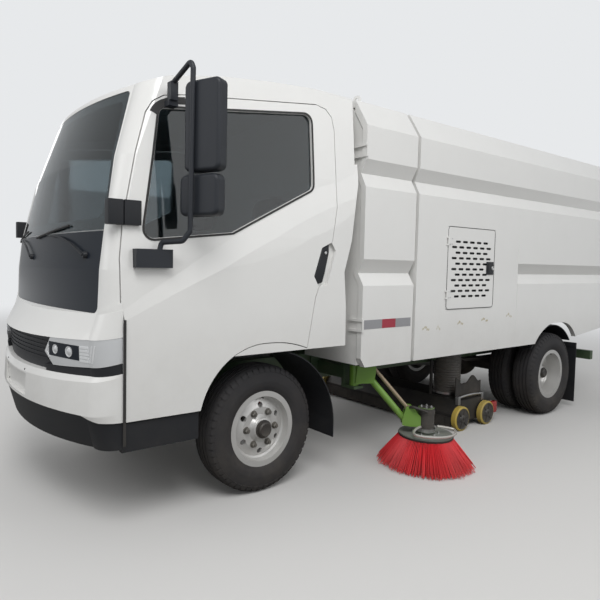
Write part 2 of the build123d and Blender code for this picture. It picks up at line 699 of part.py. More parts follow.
def make_machine_bay():
    """The open frame over the rails, its roof and the two side doors."""
    gap = running_gap + 1
    core_front, core_rear = bay_front + gap, bay_rear
    core = along(body_section(body_wall + gap, True, low=700 + seat_gap), core_front, core_rear)
    hollow = along(body_section(body_wall + gap + 30, True, low=rail_top + bearer_height + 30), core_front + 35,
                   core_rear - 35)
    sides = block(-1000, 1000, core_front + 60, core_rear - 60, rail_top + bearer_height + 30, 2300)
    bay = core - hollow - sides
    bay -= block(-rail_outer_x - 10, rail_outer_x + 10, 600, 1300, 600, rail_top + bearer_height)
    top = along(body_section(0, True), core_front, core_rear) & block(-roof_seam_x + gap, roof_seam_x - gap, 600, 1300,
                                                                       body_roof_z - 44, 2500)
    eye = along(fillet(Rectangle(60, 60).vertices(), 24), bay_front + 60, bay_front + 72)
    for sign in (1, -1):
        at = Pos(sign * 800, 0, body_roof_z + 20)
        top += at * eye
        top -= at * rod((0, bay_front + 50, 0), (0, bay_front + 90, 0), lifting_eye_radius)
    section = body_section(0, True) - body_section(body_wall, True, low=600)
    door = along(section, bay_front, bay_rear - 15) & block(roof_seam_x, 1000, 600, 1300, 600, 2500)
    corner = across(polygon([(bay_front - 1, body_bottom - 1), (bay_front + 42, body_bottom - 1),
                             (bay_front - 1, body_bottom + 60)]), 800, 1000)
    door -= corner
    bay += top
    for z in (940, 2060):
        bay, door = hinge(bay, door, (bay_hinge_x, bay_front, z), (bay_hinge_x, bay_front, z + 50), 7, 4,
                          lambda a, b: block(850, bay_hinge_x, bay_front - 8, bay_front - 2, a.Z, b.Z)
                          + block(850, 905, bay_front - 8, bay_front + 20, a.Z, b.Z),
                          lambda a, b: block(935, bay_hinge_x, bay_front, bay_front + 6, a.Z, b.Z))
    keep("bay_door_left", door)
    keep("bay_door_right", mirrored(door))
    bay &= block(0, 1000, 0, 2000, 0, 3000)
    keep("machine_bay", bay + mirrored(bay))
    keep("sweeper_engine", block(-480, 480, 800, 1120, rail_top + bearer_height + 30 + seat_gap, 1500))


# The arch over the rear wheels, from the axle
rear_arch = [(-357, 698), (-150, 838), (50, 866), (260, 832), (410, 712)]
hatch_y = (1597, 2220)
hatch_z = (1040, 1655)
hatch_hinge = (967, 1592)


# Vent slots of the hatch: rows of five and six in turn, with their middles and pitches
slot_rows = 11
slot_middle = (1907, 1340)
slot_pitch = (91, 41)
slot_size = (65, 17)
latch_y = 2115


def hatch_slots():
    middle_row = (slot_rows - 1) // 2
    spots = []
    for row in range(slot_rows):
        count = 5 + row % 2
        z = slot_middle[1] + (middle_row - row) * slot_pitch[1]
        for i in range(count):
            y = slot_middle[0] + (i - (count - 1) / 2) * slot_pitch[0]
            if row != middle_row or y < latch_y:
                spots.append((y, z))
    slots = Sketch() + [Pos(y, z) * SlotOverall(*slot_size) for y, z in spots]
    return extrude(Plane.YZ.offset(900) * slots, 100)


def make_hopper():
    gate_y = hopper_rear - gate_thickness
    plain = along(body_section(0, False), hopper_front, hopper_groove_start)
    grooved = along(body_section(0, True), hopper_groove_start, gate_y - running_gap)
    hollow_front = along(body_section(body_wall, False, low=600), hopper_front + body_wall, hopper_groove_start + 30)
    hollow_rear = along(body_section(body_wall, True, low=600), hopper_groove_start + 30, gate_y + 20)
    body = plain + grooved - hollow_front - hollow_rear
    floor = along(body_section(body_wall - 2, False, low=600), hopper_front + 10, gate_y - running_gap) & \
        block(-1000, 1000, hopper_front, gate_y, 880, 930)
    body += floor
    ear = across(polygon([(tip_y - 70, 890), (tip_y + 70, 890), (tip_y + 30, tip_z - 20), (tip_y, tip_z - 32),
                          (tip_y - 30, tip_z - 20)]), 258, 284)
    runner = block(rail_outer_x - 60, rail_outer_x - 10, hopper_front + 30, tip_y - 80,
                   rail_top + bearer_height + seat_gap, 890)
    body += ear + mirrored(ear) + runner + mirrored(runner)
    body -= rod((-300, tip_y, tip_z), (300, tip_y, tip_z), tip_pin_radius + seat_gap)
    front_lip = block(-915, 915, hopper_front, hopper_front + body_wall, 600, hopper_floor)
    body -= front_lip
    arch = make_face(Wire([Line(rear_arch[0], (-400, 500)), Line((-400, 500), (460, 500)),
                           Line((460, 500), rear_arch[4]), ThreePointArc(rear_arch[4], rear_arch[3], (150, 858)),
                           Line((150, 858), (-50, 862)), ThreePointArc((-50, 862), rear_arch[1], rear_arch[0])]))
    body -= Pos(0, wheelbase, 0) * across(arch, -1000, 1000)
    rising = polygon([(400, 600), (412, 712), (948, 764), (1600, 764), (1600, 600)])
    body -= Pos(0, wheelbase, 0) * across(rising, -1000, 1000)
    hatch = polygon([(hatch_y[0], hatch_z[0]), (hatch_y[1], hatch_z[0]), (hatch_y[1], hatch_z[1]),
                     (hatch_y[0], hatch_z[1])])
    body -= across(hatch, body_half_width - body_wall - 10, 1000)
    for x in (-1, 1):
        body -= rod((x * duct_x, (nozzle_front + nozzle_rear) / 2, 860), (x * duct_x, (nozzle_front + nozzle_rear) / 2, 940),
                    duct_radius + 10)
    gate = along(body_section(0, True, low=770), gate_y, hopper_rear)
    for x in (-520, 490):
        body, gate = hinge(body, gate, (x, gate_y, gate_hinge_z), (x + 30, gate_y, gate_hinge_z), 16, 8,
                           lambda a, b: block(a.X, b.X, gate_y - 50, gate_y - 5, 2400, gate_hinge_z + 8),
                           lambda a, b: block(a.X, b.X, gate_y + 2, gate_y + 40, 2400, gate_hinge_z + 8))
    door = across(polygon([(hatch_y[0] + 4, hatch_z[0] + 4), (hatch_y[1] - 4, hatch_z[0] + 4),
                           (hatch_y[1] - 4, hatch_z[1] - 4), (hatch_y[0] + 4, hatch_z[1] - 4)]),
                  body_half_width - 22, body_half_width - 1)
    x, y = hatch_hinge
    for z in (hatch_z[0] + 90, hatch_z[1] - 130):
        body, door = hinge(body, door, (x, y, z), (x, y, z + 40), 6, 3,
                           lambda a, b: block(x - 30, x, y - 14, y - 1, a.Z, b.Z),
                           lambda a, b: block(x - 6, x + 2, y + 2, y + 26, a.Z, b.Z)
                           + block(x - 17, x + 2, y + 12, y + 26, a.Z, b.Z), grip=12)
    keep("hopper", body)
    keep("tailgate", gate)
    door -= block(body_half_width - 30, body_half_width - 4, hatch_y[0] + 40, hatch_y[1] - 40, hatch_z[0] + 40,
                  hatch_z[1] - 40)
    door -= hatch_slots()
    keep("vent_hatch", door)


def polar(distance, z, turn=0.0):
    """A point beside the swing post, out along the arm's direction in plan."""
    heading = atan2(brush_x - post_x, brush_y - post_y) + turn
    return (post_x + distance * sin(heading), post_y + distance * cos(heading), z)


def arm_plane():
    """Local x runs out along the arm, y upwards, with the post's axis at x = 0."""
    out = Vector(*polar(1, 0)) - Vector(*polar(0, 0))
    return Plane(origin=(post_x, post_y, 0), x_dir=out, z_dir=out.cross(Vector(0, 0, 1)))


def arm_slab(points, low, high):
    plane = arm_plane()
    return extrude(plane.offset(low) * polygon(points), high - low)


def arm_rod(start, end, radius, aside=0):
    plane = arm_plane().offset(aside)
    return rod(tuple(plane.from_local_coords((*start, 0))), tuple(plane.from_local_coords((*end, 0))), radius)


def arm_pin(at, radius, low, high):
    plane = arm_plane()
    a = tuple(plane.from_local_coords((*at, low)))
    b = tuple(plane.from_local_coords((*at, high)))
    return rod(a, b, radius)


pivot = (arm_root, arm_root_z)
head_pivot = (arm_root + arm_reach, arm_root_z - arm_drop)
tie_pivot = (pivot[0] + tie_lead, pivot[1] + tie_rise)
tie_head = (head_pivot[0] + tie_lead, head_pivot[1] + tie_rise)
axis_reach = hypot(brush_x - post_x, brush_y - post_y)


def make_brush_gear():
    frame = block(rail_outer_x + seat_gap, post_x - 60, post_y - 45, post_y + 45, 560, 650)
    frame += block(rail_outer_x + seat_gap, rail_outer_x + 14, post_y - 110, post_y + 110, 530, 680)
    frame += block(post_x - 62, post_x + 46, post_y - 46, post_y + 46, 664, 682)
    frame += block(post_x - 62, post_x + 46, post_y - 46, post_y + 46, 500, 518)
    frame += block(post_x - 76, post_x - 56, post_y - 46, post_y + 46, 500, 682)
    pin_hole = rod((post_x, post_y, 490), (post_x, post_y, 690), 18 + seat_gap)
    frame -= pin_hole
    keep("brush_frame", frame + mirrored(frame))

    post = rod((post_x, post_y, 500), (post_x, post_y, 682), 18)
    post += rod((post_x, post_y, 519), (post_x, post_y, 663), 32)
    cheeks = [(10, 535), (20, 660), (tie_pivot[0] + 20, tie_pivot[1] + 10), (tie_pivot[0] + 20, tie_pivot[1] - 24),
              (pivot[0] + 24, pivot[1] - 24), (pivot[0] - 20, pivot[1] - 28)]
    for low, high in ((-42, -32), (32, 42)):
        post += arm_slab(cheeks, low, high)
    post += arm_slab([(10, 535), (20, 655), (48, 655), (48, 535)], -42, 42)
    post += arm_pin(pivot, 11, -42, 42) + arm_pin(tie_pivot, 11, -42, 42)
    arm = arm_pin(pivot, 24, -31, 31) + arm_pin(head_pivot, 24, -31, 31)
    arm += arm_rod(pivot, head_pivot, 23)
    arm -= arm_pin(pivot, 11 + seat_gap, -60, 60) + arm_pin(head_pivot, 11 + seat_gap, -60, 60)
    tie = arm_pin(tie_pivot, 20, -20, 20) + arm_pin(tie_head, 20, -20, 20) + arm_rod(tie_pivot, tie_head, 13)
    tie -= arm_pin(tie_pivot, 11 + seat_gap, -60, 60) + arm_pin(tie_head, 11 + seat_gap, -60, 60)
    hx, hz = head_pivot
    plate = [(hx - 22, hz - 26), (hx - 22, hz + 12), (tie_head[0] - 14, tie_head[1] + 20),
             (tie_head[0] + 22, tie_head[1] + 20), (axis_reach - 40, 330), (axis_reach - 40, 262), (hx + 30, hz - 32)]
    head = arm_slab(plate, -42, -32) + arm_slab(plate, 32, 42)
    head += arm_pin(head_pivot, 11, -42, 42) + arm_pin(tie_head, 11, -42, 42)
    head += arm_slab([(axis_reach - 75, 262), (axis_reach - 75, 330), (axis_reach - 40, 330), (axis_reach - 40, 262)],
                     -42, 42)
    motor_top, motor_foot = 392, brush_disc_z + 26
    head += rod((brush_x, brush_y, 250), (brush_x, brush_y, motor_top), 52)
    head += rod((brush_x, brush_y, motor_foot), (brush_x, brush_y, 250), 62)
    brush = rod((brush_x, brush_y, brush_disc_z), (brush_x, brush_y, brush_disc_z + 14), brush_disc_radius)
    brush += rod((brush_x, brush_y, brush_disc_z + 14), (brush_x, brush_y, motor_foot - seat_gap), 40)
    top, low = brush_disc_z - seat_gap, brush_lowest
    ring = [(110, top), (brush_disc_radius - 4, top), (brush_radius - 12, low + 60), (brush_radius, low + 16),
            (brush_radius - 10, low), (brush_radius - 90, low)]
    bristles = Pos(brush_x, brush_y, 0) * revolve(Plane.XZ * polygon(ring), Axis.Z)
    for side, flip in (("left", lambda s: s), ("right", mirrored)):
        for name, shape in (("brush_post", post), ("brush_arm", arm), ("brush_tie_rod", tie), ("brush_head", head),
                            ("brush_plate", brush), ("brush_bristles", bristles)):
            keep(f"{name}_{side}", flip(shape))


def make_nozzle():
    width = nozzle_wheel_x - 32
    low, high = 42, 235
    section = [(nozzle_front, low + 30), (nozzle_front, 130), (nozzle_front + 90, high), (nozzle_rear - 90, high),
               (nozzle_rear, 130), (nozzle_rear, low), (nozzle_rear - 8, low), (nozzle_rear - 8, 124),
               (nozzle_rear - 96, high - 8), (nozzle_front + 96, high - 8), (nozzle_front + 8, 124),
               (nozzle_front + 8, low + 30)]
    hood = across(polygon(section), -width, width)
    cheek = [(nozzle_front, low + 30), (nozzle_front, 130), (nozzle_front + 90, high), (nozzle_rear - 90, high),
             (nozzle_rear, 130), (nozzle_rear, low)]
    for sign in (1, -1):
        x0, x1 = sorted((sign * width, sign * (width - 8)))
        hood += across(polygon(cheek), x0, x1)
        for y in nozzle_wheels_y:
            hood += rod((sign * (width - 8), y, nozzle_wheel_radius), (sign * (nozzle_wheel_x + 26), y, nozzle_wheel_radius), 12)
    y = (nozzle_front + nozzle_rear) / 2
    for sign in (1, -1):
        hood -= rod((sign * duct_x, y, 200), (sign * duct_x, y, 260), duct_radius - 6)
        hood += rod((sign * duct_x, y, high - 4), (sign * duct_x, y, duct_top), duct_radius, bore=duct_radius - 6)
        for guide_y in (y - guide_spread, y + guide_spread):
            hood += rod((sign * guide_x, guide_y, high - 4), (sign * guide_x, guide_y, 650), guide_radius)
    keep("suction_nozzle", hood)
    disc = [(-24, 12 + seat_gap), (-24, 24), (-8, 30), (-8, 74), (-24, 80), (-24, 92), (-18, nozzle_wheel_radius),
            (18, nozzle_wheel_radius), (24, 92), (24, 80), (8, 74), (8, 30), (24, 24), (24, 12 + seat_gap)]
    wheel = turned(polygon(disc))
    for side, sign in (("left", 1), ("right", -1)):
        for end, y in zip(("front", "rear"), nozzle_wheels_y):
            keep(f"nozzle_wheel_{end}_{side}", Pos(sign * nozzle_wheel_x, y, nozzle_wheel_radius) * wheel)


make_cab()
make_front_trim()
make_cab_interior()
make_mirrors()
make_wheels()
make_chassis()
make_axles()
make_knuckles()
make_drive_line()
make_mudguards()
make_rear_gear()
make_side_tank()
make_machine_bay()
make_hopper()
make_brush_gear()
make_nozzle()

for name, shape in nodes.items():
    export_step(Pos(0, origin_shift, 0) * shape, f"parts/{name}.step")
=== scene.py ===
import math
import random

import bmesh
import bpy
from mathutils import Matrix, Vector
from mathutils.bvhtree import BVHTree


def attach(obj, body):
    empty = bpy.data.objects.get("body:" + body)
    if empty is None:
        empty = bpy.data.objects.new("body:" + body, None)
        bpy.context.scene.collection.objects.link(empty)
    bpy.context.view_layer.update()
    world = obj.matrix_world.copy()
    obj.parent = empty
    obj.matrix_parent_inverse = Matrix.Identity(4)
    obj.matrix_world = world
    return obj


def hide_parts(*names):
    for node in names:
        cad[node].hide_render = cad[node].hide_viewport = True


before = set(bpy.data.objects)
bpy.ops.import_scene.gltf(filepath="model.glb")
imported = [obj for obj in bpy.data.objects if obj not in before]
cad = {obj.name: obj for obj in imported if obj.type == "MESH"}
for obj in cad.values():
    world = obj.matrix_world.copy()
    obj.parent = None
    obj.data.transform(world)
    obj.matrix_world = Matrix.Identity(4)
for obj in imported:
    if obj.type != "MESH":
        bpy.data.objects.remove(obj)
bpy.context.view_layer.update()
print("frame loaded:", len(cad), "nodes")

# the CAD is drawn about the middle of the vehicle; places along it are easier to read from the front axle
frontAxleY = -1.7975
rearAxle = 3.3
wheelHeight = 0.38
outside = 1.3  # X beyond the body's left side, and Y before its front, where rays start
ahead = -1.4


def fromAxle(x, y, z):
    return Vector((x, y + frontAxleY, z))


def startMaterial(name):
    material = bpy.data.materials.new(name)
    material.use_nodes = True
    tree = material.node_tree
    return material, tree, tree.nodes["Principled BSDF"]


def addNode(tree, kind, **inputs):
    node = tree.nodes.new(kind)
    for key, value in inputs.items():
        node.inputs[key.replace("_", " ")].default_value = value
    return node


def makeGroup(name, ins, outs):
    group = bpy.data.node_groups.new(name, "ShaderNodeTree")
    for label, kind, value in ins:
        socket = group.interface.new_socket(label, in_out="INPUT", socket_type=kind)
        if value is not None:
            socket.default_value = value
    for label, kind in outs:
        group.interface.new_socket(label, in_out="OUTPUT", socket_type=kind)
    return group, group.nodes.new("NodeGroupInput"), group.nodes.new("NodeGroupOutput")


def mathNode(tree, operation, a, b=None, clamp=False):
    node = tree.nodes.new("ShaderNodeMath")
    node.operation = operation
    node.use_clamp = clamp
    for i, value in enumerate(v for v in (a, b) if v is not None):
        if isinstance(value, (int, float)):
            node.inputs[i].default_value = value
        else:
            tree.links.new(value, node.inputs[i])
    return node.outputs[0]


def joinUp(tree, *pairs):
    for a, b in pairs:
        tree.links.new(a, b)


# road dust: thick near the ground, broken up by noise
roadDust, dustIn, dustOut = makeGroup("road dust", [("Top", "NodeSocketFloat", 0.9), ("Amount", "NodeSocketFloat", 0.5),
                                                    ("Patch Size", "NodeSocketFloat", 6.0)],
                                      [("Mask", "NodeSocketFloat")])
place = roadDust.nodes.new("ShaderNodeTexCoord").outputs["Object"]
height = roadDust.nodes.new("ShaderNodeSeparateXYZ")
patches = addNode(roadDust, "ShaderNodeTexNoise", Detail=6.0, Roughness=0.65)
joinUp(roadDust, (place, height.inputs[0]), (place, patches.inputs["Vector"]),
       (dustIn.outputs["Patch Size"], patches.inputs["Scale"]))
low = mathNode(roadDust, "SUBTRACT", 1.0, mathNode(roadDust, "DIVIDE", height.outputs["Z"], dustIn.outputs["Top"]),
               True)
spread = mathNode(roadDust, "MULTIPLY", patches.outputs["Fac"], patches.outputs["Fac"])
mask = mathNode(roadDust, "MULTIPLY", mathNode(roadDust, "ADD", low, 0.12), spread)
mask = mathNode(roadDust, "MULTIPLY", mask, mathNode(roadDust, "MULTIPLY", dustIn.outputs["Amount"], 3.0), True)
joinUp(roadDust, (mask, dustOut.inputs["Mask"]))

# an even fine grain, as moulded plastic, cast iron or orange peel in paint
fineGrain, grainIn, grainOut = makeGroup("fine grain", [("Scale", "NodeSocketFloat", 400.0),
                                                        ("Depth", "NodeSocketFloat", 0.2)],
                                         [("Normal", "NodeSocketVector")])
place = fineGrain.nodes.new("ShaderNodeTexCoord").outputs["Object"]
grain = addNode(fineGrain, "ShaderNodeTexNoise", Detail=3.0)
bump = addNode(fineGrain, "ShaderNodeBump", Distance=0.001)
joinUp(fineGrain, (place, grain.inputs["Vector"]), (grainIn.outputs["Scale"], grain.inputs["Scale"]),
       (grain.outputs["Fac"], bump.inputs["Height"]), (grainIn.outputs["Depth"], bump.inputs["Strength"]),
       (bump.outputs["Normal"], grainOut.inputs["Normal"]))

dustColour = (0.25, 0.21, 0.16, 1)


def surface(name, colour, roughness, metallic=0.0, coat=0.0, grainScale=500.0, grainDepth=0.12, dustTop=0.9, dust=0.3,
            mottle=0.08, specular=0.5):
    material, tree, shader = startMaterial(name)
    for label, value in (("Metallic", metallic), ("Coat Weight", coat), ("Coat Roughness", 0.06),
                         ("Specular IOR Level", specular)):
        shader.inputs[label].default_value = value
    grainBox, dustBox = (tree.nodes.new("ShaderNodeGroup") for _ in range(2))
    grainBox.node_tree, dustBox.node_tree = fineGrain, roadDust
    grainBox.inputs["Scale"].default_value = grainScale
    grainBox.inputs["Depth"].default_value = grainDepth
    dustBox.inputs["Top"].default_value = dustTop
    dustBox.inputs["Amount"].default_value = dust
    cloud = addNode(tree, "ShaderNodeTexNoise", Scale=3.5, Detail=4.0)
    where = tree.nodes.new("ShaderNodeTexCoord")
    shade, dusty = (tree.nodes.new("ShaderNodeMix") for _ in range(2))
    shade.data_type = dusty.data_type = "RGBA"
    shade.inputs["A"].default_value = (*[c * (1 - mottle) for c in colour], 1)
    shade.inputs["B"].default_value = (*[min(1, c * (1 + mottle)) for c in colour], 1)
    dusty.inputs["B"].default_value = dustColour
    rough = addNode(tree, "ShaderNodeMapRange", To_Min=roughness, To_Max=min(1, roughness + 0.45))
    joinUp(tree, (grainBox.outputs["Normal"], shader.inputs["Normal"]),
           (where.outputs["Object"], cloud.inputs["Vector"]),
           (cloud.outputs["Fac"], shade.inputs["Factor"]), (dustBox.outputs["Mask"], dusty.inputs["Factor"]),
           (shade.outputs["Result"], dusty.inputs["A"]), (dusty.outputs["Result"], shader.inputs["Base Color"]),
           (dustBox.outputs["Mask"], rough.inputs["Value"]), (rough.outputs["Result"], shader.inputs["Roughness"]))
    return material


def clearGlass(name, tint, roughness=0.02):
    material, tree, shader = startMaterial(name)
    for label, value in (("Base Color", (*tint, 1)), ("Transmission Weight", 1.0), ("IOR", 1.45)):
        shader.inputs[label].default_value = value
    smear = addNode(tree, "ShaderNodeTexNoise", Scale=4.0, Detail=3.0)
    where = tree.nodes.new("ShaderNodeTexCoord")
    blur = addNode(tree, "ShaderNodeMapRange", To_Min=roughness, To_Max=roughness + 0.04)
    joinUp(tree, (where.outputs["Object"], smear.inputs["Vector"]), (smear.outputs["Fac"], blur.inputs["Value"]),
           (blur.outputs["Result"], shader.inputs["Roughness"]))
    return material


paintWhite = surface("white paint", (0.76, 0.755, 0.735), 0.32, coat=0.4, grainScale=180, grainDepth=0.015, dust=0.16,
                     dustTop=1.1, mottle=0.02)
maskBlack = surface("gloss black panel", (0.008, 0.012, 0.019), 0.3, coat=0.0, grainDepth=0.01, dust=0.02,
                    specular=0.22)
trimBlack = surface("moulded black", (0.014, 0.0155, 0.019), 0.5, grainScale=700, grainDepth=0.25, dust=0.05,
                    specular=0.35)
mirrorGrey = surface("mirror housing", (0.020, 0.023, 0.029), 0.45, grainScale=700, grainDepth=0.2, dust=0.03,
                     specular=0.35)
rubberBlack = surface("black rubber", (0.018, 0.018, 0.019), 0.6, grainScale=300, grainDepth=0.3, dust=0.2)
tyreRubber = surface("tyre rubber", (0.022, 0.022, 0.025), 0.72, grainScale=260, grainDepth=0.35, dust=0.13,
                     dustTop=0.8, specular=0.35)
rimSilver = surface("silver wheel paint", (0.60, 0.595, 0.58), 0.34, metallic=0.45, grainScale=300, grainDepth=0.06,
                    dust=0.16, dustTop=0.7)
steelBright = surface("bright steel", (0.55, 0.55, 0.55), 0.28, metallic=1.0, grainDepth=0.05, dust=0.1)
steelDark = surface("dark steel", (0.06, 0.06, 0.062), 0.5, metallic=0.7, grainScale=200, grainDepth=0.3, dust=0.4)
axleBlack = surface("black cast iron", (0.03, 0.03, 0.032), 0.62, grainScale=160, grainDepth=0.5, dust=0.5)
frameGreen = surface("dark green frame paint", (0.03, 0.075, 0.032), 0.45, grainScale=220, grainDepth=0.15, dust=0.35)
armGreen = surface("green arm paint", (0.15, 0.32, 0.035), 0.36, coat=0.2, grainScale=220, grainDepth=0.12, dust=0.22)
discGrey = surface("grey disc paint", (0.24, 0.27, 0.25), 0.4, metallic=0.2, grainDepth=0.1, dust=0.4)
hoodGrey = surface("nozzle steel", (0.016, 0.017, 0.019), 0.5, metallic=0.2, grainScale=200, grainDepth=0.3, dust=0.14)
hoseGrey = surface("grey hose", (0.085, 0.083, 0.080), 0.55, grainScale=300, grainDepth=0.3, dust=0.3)
wheelYellow = surface("yellow wheel tread", (0.55, 0.4, 0.06), 0.5, grainScale=300, grainDepth=0.2, dust=0.35)
# a darker red that paints the shade inside the bristle mass; the strands themselves are all one red
bristleShade = surface("shaded bristle core", (0.22, 0.010, 0.014), 0.7, grainScale=90, grainDepth=0.4, dust=0.1,
                      mottle=0.25)
nutGrey = surface("zinc nuts", (0.22, 0.215, 0.20), 0.42, metallic=0.8, grainScale=300, grainDepth=0.2, dust=0.3)
motorBlack = surface("black motor paint", (0.022, 0.023, 0.025), 0.38, coat=0.3, grainScale=200, grainDepth=0.2,
                     dust=0.25)
pipeSilver = surface("silver pipe", (0.62, 0.60, 0.56), 0.36, metallic=0.6, grainScale=260, grainDepth=0.1, dust=0.15)
rodTan = surface("primed rod", (0.34, 0.27, 0.18), 0.4, metallic=0.4, grainScale=260, grainDepth=0.15, dust=0.2)
seamGrey = surface("seam shadow", (0.10, 0.10, 0.098), 0.8, grainDepth=0.1, dust=0.1)
lampBright = surface("bright lamp trim", (0.82, 0.83, 0.84), 0.2, metallic=0.35, coat=0.6, grainDepth=0.03, dust=0.02)
sealantBeige = surface("dried sealant", (0.50, 0.45, 0.33), 0.8, grainScale=300, grainDepth=0.5, dust=0.1)
bristleRed = surface("red bristles", (0.72, 0.025, 0.035), 0.5, grainScale=90, grainDepth=0.2, dust=0.12, dustTop=0.15,
                     mottle=0.25)
engineGrey = surface("engine paint", (0.16, 0.17, 0.18), 0.45, grainScale=200, grainDepth=0.3, dust=0.4)
seatCloth = surface("seat cloth", (0.05, 0.052, 0.058), 0.85, grainScale=420, grainDepth=0.3, dust=0.0, mottle=0.2)
dashGrey = surface("dashboard plastic", (0.045, 0.045, 0.05), 0.6, grainScale=600, grainDepth=0.4, dust=0.0)
lampChrome = surface("lamp reflector", (0.66, 0.67, 0.68), 0.18, metallic=0.35, coat=0.8, grainDepth=0.03, dust=0.02)
lampRed = surface("red lens", (0.4, 0.012, 0.015), 0.15, coat=1.0, grainDepth=0.05, dust=0.1)
lampAmber = surface("amber lens", (0.75, 0.22, 0.015), 0.15, coat=1.0, grainDepth=0.05, dust=0.05)
stripSilver = surface("silver reflector", (0.34, 0.34, 0.355), 0.35, metallic=0.3, grainScale=900, grainDepth=0.5,
                      dust=0.1)
stripRed = surface("red reflector", (0.38, 0.035, 0.06), 0.35, metallic=0.1, grainScale=900, grainDepth=0.5, dust=0.1)
mirrorFace = surface("mirror face", (0.8, 0.82, 0.84), 0.03, metallic=1.0, grainDepth=0.0, dust=0.01)
slotBlack = surface("vent shadow", (0.01, 0.01, 0.011), 0.9, grainDepth=0.1, dust=0.05)
plateBlank = surface("blank plate", (0.55, 0.55, 0.52), 0.4, grainDepth=0.1, dust=0.15)
screenGlass = clearGlass("tinted screen", (0.20, 0.235, 0.25))

nodeFinish = {
    paintWhite: ["cab_shell", "door_left", "door_right", "nose_panel", "bumper", "machine_bay", "bay_door_left",
                 "bay_door_right", "hopper", "tailgate", "vent_hatch"],
    maskBlack: ["front_panel"],
    trimBlack: ["grille_band", "bumper_valance", "mudguards"],
    mirrorGrey: ["mirror_left", "mirror_right"],
    dashGrey: ["dashboard"],
    screenGlass: ["windscreen", "door_glass_left", "door_glass_right"],
    lampChrome: ["headlamps"],
    lampRed: ["tail_lamps"],
    seatCloth: ["seats"],
    frameGreen: ["chassis_frame", "brush_frame", "rear_bar"],
    axleBlack: ["front_axle", "rear_axle", "knuckle_left", "knuckle_right"],
    engineGrey: ["drive_unit", "sweeper_engine"],
    steelDark: ["fuel_tank"],
    rimSilver: ["front_rim_left", "front_rim_right", "rear_rims_left", "rear_rims_right"],
    tyreRubber: ["front_tyre_left", "front_tyre_right", "rear_tyres_left", "rear_tyres_right"],
    hoodGrey: ["suction_nozzle"],
    armGreen: [f"brush_{part}_{side}" for part in ("post", "arm", "head") for side in ("left", "right")],
    rodTan: ["brush_tie_rod_left", "brush_tie_rod_right"],
    discGrey: ["brush_plate_left", "brush_plate_right"],
    bristleRed: ["brush_bristles_left", "brush_bristles_right"],
    wheelYellow: [f"nozzle_wheel_{end}_{side}" for end in ("front", "rear") for side in ("left", "right")],
}
for material, names in nodeFinish.items():
    for name in names:
        mesh = cad[name].data
        mesh.materials.clear()
        mesh.materials.append(material)
print("finishes placed on the CAD nodes")


def addPiece(name, bm, material, body, smooth=30):
    mesh = bpy.data.meshes.new(name)
    bm.to_mesh(mesh)
    bm.free()
    return dress(name, mesh, material, body, smooth)


def dress(name, mesh, material, body, smooth=30):
    if material:
        mesh.materials.clear()
        mesh.materials.append(material)
    obj = bpy.data.objects.new(name, mesh)
    bpy.context.collection.objects.link(obj)
    if smooth:
        mesh.shade_smooth()
        mesh.set_sharp_from_angle(angle=math.radians(smooth))
    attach(obj, body)
    return obj


def joinRings(bm, rings):
    # a wall of faces between each ring of corners and the next
    for here, there in zip(rings, rings[1:]):
        for j in range(len(here)):
            k = (j + 1) % len(here)
            bm.faces.new((here[j], here[k], there[k], there[j]))


def spun(profile, count=48):
    # (radius, along) points turned about local X; a closed profile
    bm = bmesh.new()
    rings = []
    for i in range(count):
        a = 2 * math.pi * i / count
        rings.append([bm.verts.new((x, r * math.cos(a), r * math.sin(a))) for x, r in profile])
    joinRings(bm, rings + rings[:1])
    bmesh.ops.remove_doubles(bm, verts=bm.verts, dist=1e-6)
    bmesh.ops.dissolve_degenerate(bm, edges=bm.edges, dist=1e-6)
    bmesh.ops.recalc_face_normals(bm, faces=bm.faces)
    return bm


def slab(bm, low, high, bevel=0.0):
    low, high = Vector(low), Vector(high)
    made = bmesh.ops.create_cube(bm, size=1)["verts"]
    size, middle = high - low, (high + low) / 2
    for v in made:
        v.co = Vector((v.co.x * size.x, v.co.y * size.y, v.co.z * size.z)) + middle
    if bevel:
        edges = {e for v in made for e in v.link_edges}
        bmesh.ops.bevel(bm, geom=list(edges), offset=bevel, segments=2, affect="EDGES", profile=0.7)


def blocks(*parts):
    # a maker of joined blocks; each part is its low corner, high corner (from the front axle) and bevel
    def make():
        bm = bmesh.new()
        for low, high, bevel in parts:
            slab(bm, fromAxle(*low), fromAxle(*high), bevel)
        return bm
    return make


def tube(points, radius, sides=12):
    # a round bar or hose through the points, with capped ends
    curve = bpy.data.curves.new("tube", "CURVE")
    curve.dimensions = "3D"
    spline = curve.splines.new("NURBS")
    spline.points.add(len(points) - 1)
    for p, c in zip(spline.points, points):
        p.co = (*c, 1)
    spline.order_u = 3
    spline.use_endpoint_u = True
    spline.resolution_u = 8
    curve.bevel_depth = radius
    curve.bevel_resolution = max(1, sides // 4 - 1)
    curve.use_fill_caps = True
    obj = bpy.data.objects.new("tube", curve)
    bpy.context.collection.objects.link(obj)
    mesh = bpy.data.meshes.new_from_object(obj.evaluated_get(bpy.context.evaluated_depsgraph_get()))
    bpy.data.objects.remove(obj)
    bm = bmesh.new()
    bm.from_mesh(mesh)
    bpy.data.meshes.remove(mesh)
    return bm


surfaceTrees = {}


def onSurface(node, point, way):
    # where a ray from the point first meets a CAD node
    if node not in surfaceTrees:
        bm = bmesh.new()
        bm.from_mesh(cad[node].data)
        surfaceTrees[node] = BVHTree.FromBMesh(bm)
        bm.free()
    return surfaceTrees[node].ray_cast(Vector(point), Vector(way))[:2]


